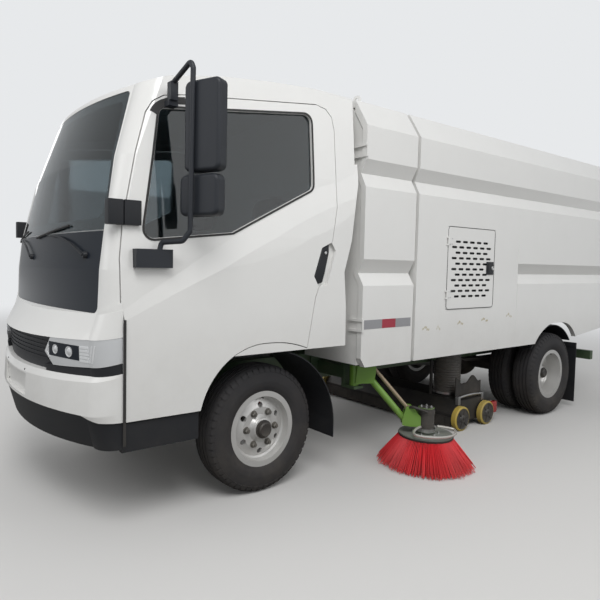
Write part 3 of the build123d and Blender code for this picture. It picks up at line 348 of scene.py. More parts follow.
def ribbon(node, outer, inner, way, lift, thick=0.002):
    # a thin closed band laid on a CAD surface between two matching outlines
    bm = bmesh.new()
    rows = []
    for a, b in zip(outer, inner):
        row = []
        for point in (a, b):
            hit, _ = onSurface(node, point, way)
            if hit is None:
                return None
            row.append((hit - Vector(way) * lift, hit + Vector(way) * thick))
        rows.append([bm.verts.new(row[0][1]), bm.verts.new(row[0][0]), bm.verts.new(row[1][0]),
                     bm.verts.new(row[1][1])])
    joinRings(bm, rows + rows[:1])
    bmesh.ops.recalc_face_normals(bm, faces=bm.faces)
    return bm


def roundedOutline(corners, radius, steps=6, spacing=0.03):
    # a 2-D outline with rounded corners, its straight runs divided
    points = []
    count = len(corners)
    for i in range(count):
        before, here, after = (Vector(corners[j % count]) for j in (i - 1, i, i + 1))
        back, on = (before - here).normalized(), (after - here).normalized()
        half = back.angle(on) / 2
        reach = radius / math.tan(half)
        start, end = here + back * reach, here + on * reach
        centre = here + (back + on).normalized() * (radius / math.sin(half))
        a, b = start - centre, end - centre
        for k in range(steps + 1):
            points.append(centre + a.slerp(b, k / steps).normalized() * radius)
    filled = []
    for i, p in enumerate(points):
        q = points[(i + 1) % len(points)]
        parts = max(1, round((q - p).length / spacing))
        filled += [p.lerp(q, k / parts) for k in range(parts)]
    return filled


def insetOutline(points, distance):
    # moves each point of a closed 2-D outline inwards along its normal
    count = len(points)
    area = sum(points[i].x * points[(i + 1) % count].y - points[(i + 1) % count].x * points[i].y for i in range(count))
    sign = 1 if area > 0 else -1
    moved = []
    for i in range(count):
        along = points[(i + 1) % count] - points[i - 1]
        moved.append(points[i] + Vector((-along.y, along.x)).normalized() * distance * sign)
    return moved


sides = {"left": 1, "right": -1}


def flipSide(bm, sign):
    # turns a left-hand piece into the right-hand one
    if sign < 0:
        for v in bm.verts:
            v.co.x = -v.co.x
        bmesh.ops.reverse_faces(bm, faces=bm.faces)
    return bm


def upright(bm, spot):
    # stands a shape that was spun about X on the Z axis through the spot
    bmesh.ops.transform(bm, matrix=Matrix.Translation(spot) @ Matrix.Rotation(math.radians(-90), 4, "Y"),
                        verts=bm.verts)
    return bm


def moved(bm, matrix):
    bmesh.ops.transform(bm, matrix=matrix, verts=bm.verts)
    bmesh.ops.recalc_face_normals(bm, faces=bm.faces)
    return bm


def shifted(bm, spot):
    bmesh.ops.translate(bm, vec=spot, verts=bm.verts)
    return bm


def patch(node, corners, way, lift=0.001, depth=0.002, across=10, along=4, into=None):
    # a thin plate laid on a CAD surface between four corners, found with rays along the way
    bm = into or bmesh.new()
    a, b, c, d = (Vector(p) for p in corners)
    way = Vector(way).normalized()
    grid = []
    for i in range(along + 1):
        row = []
        for j in range(across + 1):
            u, v = j / across, i / along
            point = a.lerp(b, u).lerp(d.lerp(c, u), v)
            hit, _ = onSurface(node, point, way)
            if hit is None:
                print("patch misses", node, tuple(round(q, 3) for q in point))
                return bm
            row.append((bm.verts.new(hit - way * lift), bm.verts.new(hit + way * depth)))
        grid.append(row)
    made = []
    for i in range(along):
        for j in range(across):
            for k in (0, 1):
                made.append(bm.faces.new([grid[i][j][k], grid[i][j + 1][k], grid[i + 1][j + 1][k], grid[i + 1][j][k]]))
    rim = [grid[0][j] for j in range(across + 1)] + [grid[i][across] for i in range(1, along + 1)]
    rim += [grid[along][j] for j in range(across - 1, -1, -1)] + [grid[i][0] for i in range(along - 1, 0, -1)]
    for i in range(len(rim)):
        p, q = rim[i], rim[(i + 1) % len(rim)]
        made.append(bm.faces.new([p[0], q[0], q[1], p[1]]))
    bmesh.ops.recalc_face_normals(bm, faces=made)
    return bm


def bothSides(name, make, material, bodies, smooth=30):
    # one piece for each side, from a maker of the left-hand shape
    for side, sign in sides.items():
        body = bodies.format(side=side)
        addPiece(f"{name}_{side}", flipSide(make(), sign), material, body, smooth)


def mergeInto(bm, other):
    mesh = bpy.data.meshes.new("part")
    other.to_mesh(mesh)
    other.free()
    bm.from_mesh(mesh)
    bpy.data.meshes.remove(mesh)


def startTree(name, inputs):
    tree = bpy.data.node_groups.new(name, "GeometryNodeTree")
    tree.interface.new_socket("Geometry", in_out="INPUT", socket_type="NodeSocketGeometry")
    for label, kind, value in inputs:
        socket = tree.interface.new_socket(label, in_out="INPUT", socket_type=kind)
        if value is not None:
            socket.default_value = value
    tree.interface.new_socket("Geometry", in_out="OUTPUT", socket_type="NodeSocketGeometry")
    return tree, tree.nodes.new("NodeGroupInput"), tree.nodes.new("NodeGroupOutput")


def finishTree(tree, instances, groupIn, groupOut):
    real = tree.nodes.new("GeometryNodeRealizeInstances")
    paint = tree.nodes.new("GeometryNodeSetMaterial")
    joinUp(tree, (instances, real.inputs[0]), (real.outputs[0], paint.inputs["Geometry"]),
           (groupIn.outputs["Material"], paint.inputs["Material"]), (paint.outputs[0], groupOut.inputs[0]))


def makeRingTree():
    # copies of a shape turned about the X axis
    tree, gin, gout = startTree("ring of shapes", [("Shape", "NodeSocketObject", None), ("Count", "NodeSocketInt", 8),
                                                   ("Start", "NodeSocketFloat", 0.0),
                                                   ("Material", "NodeSocketMaterial", None)])
    line = tree.nodes.new("GeometryNodeMeshLine")
    line.mode = "OFFSET"
    line.inputs["Offset"].default_value = (0, 0, 0)
    index = tree.nodes.new("GeometryNodeInputIndex").outputs[0]
    step = mathNode(tree, "DIVIDE", 2 * math.pi, gin.outputs["Count"])
    angle = mathNode(tree, "ADD", mathNode(tree, "MULTIPLY", index, step), gin.outputs["Start"])
    turn = tree.nodes.new("ShaderNodeCombineXYZ")
    info = tree.nodes.new("GeometryNodeObjectInfo")
    copies = tree.nodes.new("GeometryNodeInstanceOnPoints")
    joinUp(tree, (gin.outputs["Count"], line.inputs["Count"]), (line.outputs[0], copies.inputs["Points"]),
           (gin.outputs["Shape"], info.inputs[0]), (info.outputs["Geometry"], copies.inputs["Instance"]),
           (angle, turn.inputs["X"]), (turn.outputs[0], copies.inputs["Rotation"]))
    finishTree(tree, copies.outputs[0], gin, gout)
    return tree


def makeTuftTree():
    # bristles that lean outwards from a ring about the Z axis; each copy is turned and lengthened a little at random
    tree, gin, gout = startTree("ring of bristles",
                                [("Shape", "NodeSocketObject", None), ("Count", "NodeSocketInt", 300),
                                                     ("Inner", "NodeSocketFloat", 0.12),
                                                     ("Outer", "NodeSocketFloat", 0.17),
                                                     ("Lean", "NodeSocketFloat", 0.6),
                                                     ("Lean Inside", "NodeSocketFloat", 0.3),
                                                     ("Spread", "NodeSocketFloat", 0.08), ("Seed", "NodeSocketInt", 3),
                                                     ("Material", "NodeSocketMaterial", None)])
    line = tree.nodes.new("GeometryNodeMeshLine")
    line.mode = "OFFSET"
    line.inputs["Offset"].default_value = (0, 0, 0)
    index = tree.nodes.new("GeometryNodeInputIndex").outputs[0]

    def chance(low, high, offset):
        node = tree.nodes.new("FunctionNodeRandomValue")
        node.data_type = "FLOAT"
        node.inputs[2].default_value, node.inputs[3].default_value = low, high
        joinUp(tree, (mathNode(tree, "ADD", gin.outputs["Seed"], offset), node.inputs["Seed"]))
        return node.outputs[1]

    angle = mathNode(tree, "MULTIPLY", index, 2.399963)  # the golden angle fills the ring evenly
    part = mathNode(tree, "FRACT", mathNode(tree, "MULTIPLY", index, 0.7548777))
    radius = mathNode(tree, "ADD", gin.outputs["Inner"], mathNode(tree, "MULTIPLY", part, mathNode(
        tree, "SUBTRACT", gin.outputs["Outer"], gin.outputs["Inner"])))
    lean = mathNode(tree, "ADD", gin.outputs["Lean Inside"], mathNode(tree, "MULTIPLY", part, mathNode(
        tree, "SUBTRACT", gin.outputs["Lean"], gin.outputs["Lean Inside"])))
    wander = mathNode(tree, "MULTIPLY", chance(-1, 1, 1), gin.outputs["Spread"])
    position = tree.nodes.new("ShaderNodeCombineXYZ")
    setPlace = tree.nodes.new("GeometryNodeSetPosition")
    turn = tree.nodes.new("ShaderNodeCombineXYZ")
    copies = tree.nodes.new("GeometryNodeInstanceOnPoints")
    info = tree.nodes.new("GeometryNodeObjectInfo")
    size = tree.nodes.new("ShaderNodeCombineXYZ")
    size.inputs["X"].default_value = size.inputs["Y"].default_value = 1
    joinUp(tree, (mathNode(tree, "MULTIPLY", mathNode(tree, "COSINE", angle), radius), position.inputs["X"]),
           (mathNode(tree, "MULTIPLY", mathNode(tree, "SINE", angle), radius), position.inputs["Y"]),
           (gin.outputs["Count"], line.inputs["Count"]), (line.outputs[0], setPlace.inputs["Geometry"]),
           (position.outputs[0], setPlace.inputs["Position"]), (setPlace.outputs[0], copies.inputs["Points"]),
           (gin.outputs["Shape"], info.inputs[0]), (info.outputs["Geometry"], copies.inputs["Instance"]),
           (mathNode(tree, "MULTIPLY", mathNode(tree, "ADD", lean, wander), -1.0), turn.inputs["Y"]),
           (mathNode(tree, "ADD", angle, mathNode(tree, "MULTIPLY", chance(-1, 1, 5), gin.outputs["Spread"])),
            turn.inputs["Z"]),
           (turn.outputs[0], copies.inputs["Rotation"]),
           (mathNode(tree, "DIVIDE", chance(0.95, 1.0, 9),
                     mathNode(tree, "COSINE", mathNode(tree, "ADD", lean, wander))),
            size.inputs["Z"]),
           (size.outputs[0], copies.inputs["Scale"]))
    finishTree(tree, copies.outputs[0], gin, gout)
    return tree


ringTree, tuftTree = makeRingTree(), makeTuftTree()


def grow(name, tree, shape, values, places, material, body, smooth=30):
    # runs a tree once and keeps its result, put at each place, as one plain mesh
    hostMesh = bpy.data.meshes.new(name)
    host = bpy.data.objects.new(name, hostMesh)
    bpy.context.collection.objects.link(host)
    shapeMesh = bpy.data.meshes.new(name + " shape")
    shape.to_mesh(shapeMesh)
    shape.free()
    source = bpy.data.objects.new(name + " shape", shapeMesh)
    bpy.context.collection.objects.link(source)
    values = {**values, "Shape": source, "Material": material}
    modifier = host.modifiers.new("tree", "NODES")
    modifier.node_group = tree
    for item in tree.interface.items_tree:
        if item.in_out == "INPUT" and item.name in values:
            modifier[item.identifier] = values[item.name]
    made = bpy.data.meshes.new_from_object(host.evaluated_get(bpy.context.evaluated_depsgraph_get()))
    bpy.data.objects.remove(host)
    bpy.data.objects.remove(source)
    bm = bmesh.new()
    for spot in places:
        copy = made.copy()
        copy.transform(spot)
        if spot.determinant() < 0:
            copy.flip_normals()
        bm.from_mesh(copy)
        bpy.data.meshes.remove(copy)
    mesh = bpy.data.meshes.new(name)
    bm.to_mesh(mesh)
    bm.free()
    return dress(name, mesh, material, body, smooth)


tyreShape = {"radius": wheelHeight, "halfWidth": 0.1, "seat": 0.2035, "lugs": 54}


def tyreProfile():
    t = tyreShape
    r, w, base = t["radius"], t["halfWidth"], t["seat"]
    crown = r - 0.001
    groove = crown - 0.010
    right = [(0.0, crown), (0.010, crown), (0.012, groove), (0.020, groove), (0.022, crown - 0.0005),
             (0.040, crown - 0.001),
             (0.042, groove - 0.001), (0.050, groove - 0.001), (0.052, crown - 0.002), (0.064, crown - 0.004),
             (0.074, crown - 0.013), (0.080, crown - 0.022), (0.0865, crown - 0.026), (0.0925, crown - 0.045),
             (0.0965, crown - 0.066), (w - 0.0008, crown - 0.090), (w - 0.0002, crown - 0.096),
             (w - 0.0008, crown - 0.101),
             (0.0972, crown - 0.118), (0.0930, crown - 0.134), (0.0915, crown - 0.136), (0.0905, crown - 0.140),
             (0.0850, base + 0.026), (0.0800, base + 0.020), (0.0685, base + 0.012), (0.0685, base)]
    left = [(-x, rr) for x, rr in reversed(right[1:])]
    return right + left


def lugShape():
    # one shoulder block of the tread, its top flush with the crown
    t = tyreShape
    bm = bmesh.new()
    r = t["radius"] - 0.0005
    width = 2 * math.pi * r / t["lugs"] * 0.68
    side = [(0.053, r - 0.003), (0.070, r - 0.0065), (0.084, r - 0.017), (0.0945, r - 0.040), (0.0885, r - 0.044),
            (0.078, r - 0.026), (0.053, r - 0.014)]
    ends = []
    for sign, lean in ((-1, -0.004), (1, -0.004)):
        ends.append([bm.verts.new((x, sign * width / 2 + lean * (x - 0.053) / 0.04, rr)) for x, rr in side])
    bm.faces.new(ends[0])
    bm.faces.new(list(reversed(ends[1])))
    for j in range(len(side)):
        k = (j + 1) % len(side)
        bm.faces.new((ends[0][j], ends[1][j], ends[1][k], ends[0][k]))
    for v in bm.verts:  # the ring tree starts its copies on +Y
        v.co = Vector((v.co.x, v.co.z, -v.co.y))
    bmesh.ops.recalc_face_normals(bm, faces=bm.faces)
    return bm


wheelMiddles = {"front_tyre_left": [(0.770, 0, "front_wheel_left")],
                "front_tyre_right": [(-0.770, 0, "front_wheel_right")],
                "rear_tyres_left": [(0.848, rearAxle, "rear_wheels_left"), (0.618, rearAxle, "rear_wheels_left")],
                "rear_tyres_right": [(-0.848, rearAxle, "rear_wheels_right"), (-0.618, rearAxle, "rear_wheels_right")]}
mirrorX = Matrix.Scale(-1, 4, (1, 0, 0))
for node, middles in wheelMiddles.items():
    body = middles[0][2]
    places = [Matrix.Translation(fromAxle(x, y, wheelHeight)) for x, y, _ in middles]
    bm = bmesh.new()
    for spot in places:
        carcass = spun(tyreProfile(), 96)
        mesh = bpy.data.meshes.new("carcass")
        carcass.to_mesh(mesh)
        carcass.free()
        mesh.transform(spot)
        bm.from_mesh(mesh)
        bpy.data.meshes.remove(mesh)
    tyre = addPiece(node + "_carcass", bm, tyreRubber, body, 40)
    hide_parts(node)
    grow(node + "_lugs", ringTree, lugShape(), {"Count": tyreShape["lugs"], "Start": 0.0},
         places + [spot @ mirrorX for spot in places], tyreRubber, body, 0)
print("tyres made")


# wheel nuts and hub caps
frontWheel = {"middle": 0.770, "discFace": 0.058, "nutCircle": 0.104, "nuts": 6, "nutSize": 0.0165, "capRadius": 0.047,
              "capLength": 0.026}
rearWheel = {"middle": 0.733, "flangeFace": 0.012, "nutCircle": 0.128, "nuts": 6, "nutSize": 0.0165, "capRadius": 0.042,
             "capLength": 0.02}


def nutShape(face, circle, size):
    # a hexagon nut with its washer and stud end, its axis along X
    bm = bmesh.new()
    steps = [(face - size * 0.06, size * 1.35, 12), (face + size * 0.18, size * 1.3, 12), (face + size * 0.18, size, 6),
             (face + size * 1.15, size, 6), (face + size * 1.33, size * 0.8, 6), (face + size * 1.33, size * 0.5, 12),
             (face + size * 1.75, size * 0.48, 12)]
    for (x0, r0, n0), (x1, r1, n1) in zip(steps, steps[1:]):
        if n0 != n1:
            continue
        angles = [2 * math.pi * i / n0 for i in range(n0)]
        low, top = ([bm.verts.new((x, circle + r * math.cos(a), r * math.sin(a))) for a in angles]
                    for x, r in ((x0, r0), (x1, r1)))
        joinRings(bm, [low, top])
        bm.faces.new(top)
    bmesh.ops.remove_doubles(bm, verts=bm.verts, dist=1e-6)
    bmesh.ops.recalc_face_normals(bm, faces=bm.faces)
    return bm


def capShape(start, radius, length):
    # a pressed cap with a stepped rim and a shallow dome
    return spun([(start - 0.002, 0.0), (start - 0.002, radius + 0.008), (start + 0.004, radius + 0.008),
                 (start + 0.005, radius), (start + length * 0.75, radius * 0.94), (start + length, radius * 0.78),
                 (start + length * 0.9, radius * 0.6), (start + length * 0.9, 0.0)], 40)


for side, sign in sides.items():
    flip = Matrix.Scale(sign, 4, (1, 0, 0))
    for name, wheel, y, face, hub, body in (
            ("front", frontWheel, 0.0, frontWheel["discFace"], 0.089, f"front_wheel_{side}"),
            ("rear", rearWheel, rearAxle, rearWheel["flangeFace"], 0.131, f"rear_wheels_{side}")):
        place = flip @ Matrix.Translation(fromAxle(wheel["middle"], y, wheelHeight))
        nut = nutShape(face, wheel["nutCircle"], wheel["nutSize"])
        grow(f"{name}_nuts_{side}", ringTree, nut, {"Count": wheel["nuts"], "Start": 0.0},
             [place], nutGrey, body, 25)
        cap = moved(capShape(hub, wheel["capRadius"], wheel["capLength"]), place)
        addPiece(f"{name}_hub_cap_{side}", cap, steelDark, body, 35)
        valve = tube([(0.030, 0.0, 0.196), (0.055, 0.0, 0.190), (0.083, 0.0, 0.184)], 0.0045, 8)
        valveMiddle = 0.770 if name == "front" else 0.848
        moved(valve, flip @ Matrix.Translation(fromAxle(valveMiddle, y, wheelHeight)))
        addPiece(f"{name}_valve_{side}", valve, steelDark, body, 35)
print("wheel nuts and caps made")

# side brushes: two rings of strands under the disc, with a closed dark core between them that paints the shade deep
# inside the bristles
brush = {"x": 1.085, "y": 1.230, "disc": 0.200, "reach": 0.196, "inner": 0.112, "outer": 0.173, "strands": 2400,
         "thickness": 0.0030, "leanInside": 0.30, "leanOutside": 0.64, "spread": 0.055}


def strandShape():
    # one stiff strand hanging down from its root, a little thinner at the tip
    bm = bmesh.new()
    rings = []
    for z, scale in ((0.0, 0.8), (-0.5, 1.0), (-1.0, 0.6)):
        r = brush["thickness"] * scale
        rings.append([bm.verts.new((r * math.cos(a), r * math.sin(a), z * brush["reach"]))
                      for a in (0, math.pi / 2, math.pi, 1.5 * math.pi)])
    joinRings(bm, rings[::-1])
    bm.faces.new(list(reversed(rings[-1])))
    bm.faces.new(rings[0])
    bmesh.ops.recalc_face_normals(bm, faces=bm.faces)
    return bm


for side, sign in sides.items():
    centre = fromAxle(sign * brush["x"], brush["y"], 0)
    values = {"Count": brush["strands"], "Inner": brush["inner"], "Outer": brush["outer"], "Lean": brush["leanOutside"],
              "Lean Inside": brush["leanInside"], "Spread": brush["spread"], "Seed": 4 + sign}
    strands = grow(f"brush_strands_{side}", tuftTree, strandShape(), values,
                   [Matrix.Translation(centre + Vector((0, 0, brush["disc"] - 0.001)))], bristleRed, f"brush_{side}",
                   0)
    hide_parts(f"brush_bristles_{side}")
    # the core is painted shade: a dark solid where the inner bristles lie in shadow
    core = upright(spun([(0.199, 0.108), (0.199, 0.168), (0.110, 0.212), (0.020, 0.262), (0.020, 0.225),
                         (0.110, 0.150)], 60),
                   centre)
    addPiece(f"brush_core_{side}", core, bristleShade, f"brush_{side}", 40)
    rim = upright(spun([(0.1925, 0.150), (0.1925, 0.1765), (0.1990, 0.1810), (0.2075, 0.1815), (0.2075, 0.1782),
                        (0.2002, 0.1770), (0.1990, 0.150)], 72), centre)
    addPiece(f"brush_rim_{side}", rim, rubberBlack, f"brush_{side}", 35)
    bolt = nutShape(0.214, 0.085, 0.008)
    turn = Matrix.Translation(centre) @ Matrix.Rotation(math.radians(-90), 4, "Y")
    grow(f"brush_bolts_{side}", ringTree, bolt, {"Count": 6, "Start": 0.3}, [turn], steelBright,
         f"brush_{side}", 25)
    shell = upright(spun([(0.2485, 0.0), (0.2485, 0.0535), (0.262, 0.0535), (0.262, 0.0560), (0.272, 0.0560),
                          (0.272, 0.0535),
                          (0.352, 0.0535), (0.352, 0.0575), (0.372, 0.0575), (0.372, 0.0535), (0.388, 0.0535),
                          (0.3935, 0.048), (0.3935, 0.0)], 48), centre)
    addPiece(f"brush_motor_{side}", shell, motorBlack, f"brush_head_{side}", 35)
    foot = upright(spun([(0.2270, 0.045), (0.2270, 0.0632), (0.2505, 0.0632), (0.2505, 0.045)], 48), centre)
    addPiece(f"brush_motor_foot_{side}", foot, steelBright, f"brush_head_{side}", 35)
    bolts = nutShape(0.3935, 0.032, 0.007)
    grow(f"motor_bolts_{side}", ringTree, bolts, {"Count": 4, "Start": 0.6}, [turn], steelBright,
         f"brush_head_{side}", 25)
    arc = [(0.0, -0.050, 0.262), (0.0, -0.100, 0.262), (0.03, -0.180, 0.246)]
    arc += [(0.197 * math.cos(a), 0.197 * math.sin(a), 0.240) for a in (-1.2, -0.8, -0.4, 0.0, 0.4, 0.8)]
    arc += [(0.105, 0.150, 0.246), (0.05, 0.055, 0.262)]
    guard = shifted(tube(arc, 0.0085, 12), fromAxle(brush["x"], brush["y"], 0))
    addPiece(f"brush_guard_{side}", flipSide(guard, sign), pipeSilver, f"brush_head_{side}", 40)
    hose = [(0.012, -0.035, 0.372), (0.010, -0.082, 0.392), (-0.045, -0.112, 0.404), (-0.082, -0.083, 0.378)]
    for k, drift in enumerate((0.0, 0.03)):
        line = [(x + drift * (1 - i * 0.3), y - drift * 0.4, z) for i, (x, y, z) in enumerate(hose)]
        piece = shifted(tube(line, 0.008, 10), fromAxle(brush["x"], brush["y"], 0))
        addPiece(f"motor_hose_{k + 1}_{side}", flipSide(piece, sign), rubberBlack, f"brush_head_{side}",
                 40)
print("brushes made")

# the seal round the door glass
windowOutline = {"corners": [(-0.690, 2.116), (0.284, 2.244), (0.279, 1.802), (-0.291, 1.517), (-0.806, 1.460)],
                 "radius": 0.045, "wide": 0.013}


def windowSeal():
    outline = roundedOutline([(y + frontAxleY, z) for y, z in windowOutline["corners"]], windowOutline["radius"])
    outer, inner = ([Vector((outside, p.x, p.y)) for p in insetOutline(outline, distance)]
                    for distance in (-windowOutline["wide"], -0.002))
    return ribbon("door_left", outer, inner, (-1, 0, 0), 0.0035)


sealPiece = windowSeal()
if sealPiece:
    for side, sign in sides.items():
        addPiece(f"window_seal_{side}", flipSide(sealPiece.copy(), sign), rubberBlack, f"door_{side}", 40)
    sealPiece.free()


def doorHandle():
    # the black grip along the front edge of the hand well
    low = [(0.283, 1.283), (0.316, 1.236), (0.352, 1.246), (0.372, 1.300), (0.404, 1.430), (0.400, 1.478),
           (0.346, 1.452),
           (0.312, 1.352)]
    bm = bmesh.new()
    outer = [bm.verts.new(fromAxle(0.9515, y, z)) for y, z in low]
    middle = Vector((sum(y for y, _ in low) / len(low), sum(z for _, z in low) / len(low)))
    raised = [bm.verts.new(fromAxle(0.9575, middle.x + (y - middle.x) * 0.8, middle.y + (z - middle.y) * 0.9)) for y,
              z in low]
    back = [bm.verts.new(fromAxle(0.9370, y, z)) for y, z in low]
    joinRings(bm, [back, outer, raised])
    bm.faces.new(raised)
    bm.faces.new(list(reversed(back)))
    bmesh.ops.recalc_face_normals(bm, faces=bm.faces)
    return bm


def lockCylinder():
    return shifted(spun([(0.0, 0.0), (0.0, 0.0095), (0.003, 0.0095), (0.0042, 0.008), (0.0042, 0.0)], 24),
                   fromAxle(0.9565, 0.372, 1.425))


def pillarBlock(front, rear):
    # the black cover over the mirror bracket, split at the door's seam
    return blocks(((0.905, front, 1.522), (0.952, rear, 1.640), 0.006))


def roofTrim():
    # the black trim over the front top corner of the door, each row its outer and inner edge
    rows = ((-0.742, 2.096, -0.706, 2.080), (-0.732, 2.116, -0.694, 2.098), (-0.714, 2.138, -0.677, 2.118),
            (-0.690, 2.156, -0.656, 2.134), (-0.658, 2.172, -0.630, 2.146), (-0.618, 2.184, -0.598, 2.153),
            (-0.580, 2.191, -0.568, 2.157), (-0.548, 2.196, -0.540, 2.160))
    bm = bmesh.new()
    loops = []
    for outerY, outerZ, innerY, innerZ in rows:
        outer, _ = onSurface("door_left", fromAxle(outside, outerY, outerZ), (-1, 0, 0))
        inner, _ = onSurface("door_left", fromAxle(outside, innerY, innerZ), (-1, 0, 0))
        loops.append([bm.verts.new(point + Vector((step, 0, 0)))
                      for point, step in ((outer, -0.002), (outer, 0.004), (inner, 0.004), (inner, -0.002))])
    joinRings(bm, loops)
    bm.faces.new(loops[0])
    bm.faces.new(list(reversed(loops[-1])))
    bmesh.ops.recalc_face_normals(bm, faces=bm.faces)
    return bm


def mirrorGlass(centre, width, height):
    # a plane glass in a thin frame on the back of the housing, turned with it
    bm = bmesh.new()
    outline = roundedOutline([(-width / 2, -height / 2), (width / 2, -height / 2), (width / 2, height / 2),
                              (-width / 2, height / 2)], 0.024)
    turn = Matrix.Rotation(math.radians(25), 3, "Z")
    rings = []
    for depth, inset in ((0.0305, 0.0), (0.0335, 0.0), (0.0340, 0.003)):
        rings.append([bm.verts.new(turn @ Vector((p.x, depth, p.y)) + centre) for p in insetOutline(outline, inset)])
    joinRings(bm, rings)
    bm.faces.new(rings[-1])
    bm.faces.new(list(reversed(rings[0])))
    bmesh.ops.recalc_face_normals(bm, faces=bm.faces)
    return bm


# a thin black strip in the gap in front of the door, painted as the shade in the gap; it stands clear of the door and
# of the cab
bothSides("door_seam_seal", blocks(((0.9572, -0.9140, 0.470), (0.9586, -0.8995, 1.075), 0.0)), rubberBlack, "cab")
bothSides("door_grip", doorHandle, trimBlack, "door_{side}", 30)
bothSides("door_lock", lockCylinder, steelBright, "door_{side}", 30)
bothSides("pillar_block", pillarBlock(-0.988, -0.9125), trimBlack, "cab", 40)
bothSides("door_block", pillarBlock(-0.9085, -0.822), trimBlack, "door_{side}", 40)
bothSides("roof_trim", roofTrim, rubberBlack, "door_{side}", 40)
bothSides("mirror_glass_upper", lambda: mirrorGlass(fromAxle(1.098, -0.566, 2.000), 0.176, 0.394), mirrorFace,
          "door_{side}",
          30)
bothSides("mirror_glass_lower", lambda: mirrorGlass(fromAxle(1.076, -0.568, 1.674), 0.190, 0.168), mirrorFace,
          "door_{side}",
          30)
print("door and mirror trim made")

# headlamps: a dark bay, projectors, bars, slats and a hook laid on the lamp's face with rays from the front
def frontCorners(y, *points):
    return [fromAxle(x, y, z) for x, z in points]


def sideCorners(*points):
    return [fromAxle(outside, y, z) for y, z in points]


def lampPatch(x0, x1, z0, z1, lift, bm, across=6):
    return patch("headlamps", frontCorners(ahead, (x0, z0), (x1, z0), (x1, z1), (x0, z1)), (0, 1, 0), lift,
                 across=across,
                 along=2, into=bm)


def lampLine(bm, *points):
    patch("headlamps", frontCorners(ahead, *points), (0, 1, 0), 0.0025, across=1, along=3, into=bm)


def lampDark():
    return lampPatch(0.515, 0.765, 0.866, 0.938, 0.0012, None, 10)


def lampEyes():
    bm = bmesh.new()
    for x, r in ((0.575, 0.024), (0.690, 0.027)):
        hit, normal = onSurface("headlamps", fromAxle(x, ahead, 0.902), (0, 1, 0))
        eye = spun([(-0.004, 0.0), (-0.004, r), (0.0035, r), (0.0035, r * 0.82), (0.0015, r * 0.74), (0.0045, r * 0.45),
                    (0.0055, 0.0)], 32)
        turn = Vector((1, 0, 0)).rotation_difference(normal).to_matrix().to_4x4()
        mergeInto(bm, moved(eye, Matrix.Translation(hit) @ turn))
    bmesh.ops.recalc_face_normals(bm, faces=bm.faces)
    return bm


def lampBars():
    bm = bmesh.new()
    for i in range(5):
        lampPatch(0.772, 0.832, 0.862 + i * 0.0165, 0.873 + i * 0.0165, 0.003, bm, 3)
    return bm


def lampSlats():
    # two slanting bright lines beyond the bars
    bm = bmesh.new()
    for x in (0.838, 0.856):
        lampLine(bm, (x, 0.862), (x + 0.007, 0.862), (x + 0.024, 0.948), (x + 0.017, 0.948))
    return bm


def lampHook():
    # the bright angular line round the inner end of the lamp
    bm = bmesh.new()
    lampLine(bm, (0.484, 0.880), (0.497, 0.880), (0.522, 0.858), (0.512, 0.852))
    lampLine(bm, (0.484, 0.880), (0.497, 0.880), (0.511, 0.912), (0.501, 0.916))
    return bm


bothSides("lamp_projector_bay", lampDark, maskBlack, "cab", 30)
bothSides("lamp_projectors", lampEyes, lampChrome, "cab", 30)
bothSides("lamp_bars", lampBars, lampBright, "cab", 30)
bothSides("lamp_slats", lampSlats, lampBright, "cab", 30)
bothSides("lamp_hook", lampHook, lampBright, "cab", 30)
print("headlamps made")

# turns a shape spun about X to face the front
facingFront = Matrix.Rotation(math.radians(-90), 4, "Z")

# wipers on the windscreen
wiper = {"pivots": [(0.70, 1.380), (-0.10, 1.375)], "tips": [(0.24, 1.490), (-0.56, 1.490)], "blade": 0.50}


def onScreen(x, z, lift):
    hit, _ = onSurface("windscreen", fromAxle(x, -2.0, z), (0, 1, 0))
    if hit is None:
        hit, _ = onSurface("front_panel", fromAxle(x, -2.0, z), (0, 1, 0))
    if hit is None:
        return None
    return hit - Vector((0, 1, 0)) * lift


for i, ((px, pz), (tx, tz)) in enumerate(zip(wiper["pivots"], wiper["tips"])):
    line = [onScreen(px + (tx - px) * k / 6, pz + (tz - pz) * k / 6 + 0.10 * math.sin(math.pi * k / 6) * 0.3, 0.018)
            for k in range(7)]
    line = [p for p in line if p is not None]
    if len(line) > 2:
        addPiece(f"wiper_arm_{i + 1}", tube(line, 0.006, 8), trimBlack, "cab", 40)
    blade = [onScreen(tx + wiper["blade"] * (k / 8 - 0.5), tz + 0.02 + 0.05 * (k / 8 - 0.5), 0.009) for k in range(9)]
    blade = [p for p in blade if p is not None]
    if len(blade) > 2:
        addPiece(f"wiper_blade_{i + 1}", tube(blade, 0.0065, 8), rubberBlack, "cab", 40)
    spot = onScreen(px, pz, 0.0)
    if spot is not None:
        cap = spun([(-0.004, 0.0), (-0.004, 0.017), (0.012, 0.017), (0.018, 0.012), (0.018, 0.0)], 24)
        moved(cap, Matrix.Translation(spot) @ facingFront)
        addPiece(f"wiper_pivot_{i + 1}", cap, trimBlack, "cab", 40)
print("wipers made")

# faint ribs in the grille recess, between the headlamps
grille = {"halfWidth": 0.455, "low": 0.835, "high": 0.925, "ribs": 5}


def grilleRibs():
    bm = bmesh.new()
    wide = grille["halfWidth"]
    for i in range(grille["ribs"]):
        z = grille["low"] + (grille["high"] - grille["low"]) * i / (grille["ribs"] - 1)
        patch("grille_band", frontCorners(-1.6, (-wide, z - 0.004), (wide, z - 0.004), (wide, z + 0.004),
                                          (-wide, z + 0.004)),
              (0, 1, 0), 0.006, across=24, along=1, into=bm)
    return bm


addPiece("grille_ribs", grilleRibs(), trimBlack, "cab", 40)


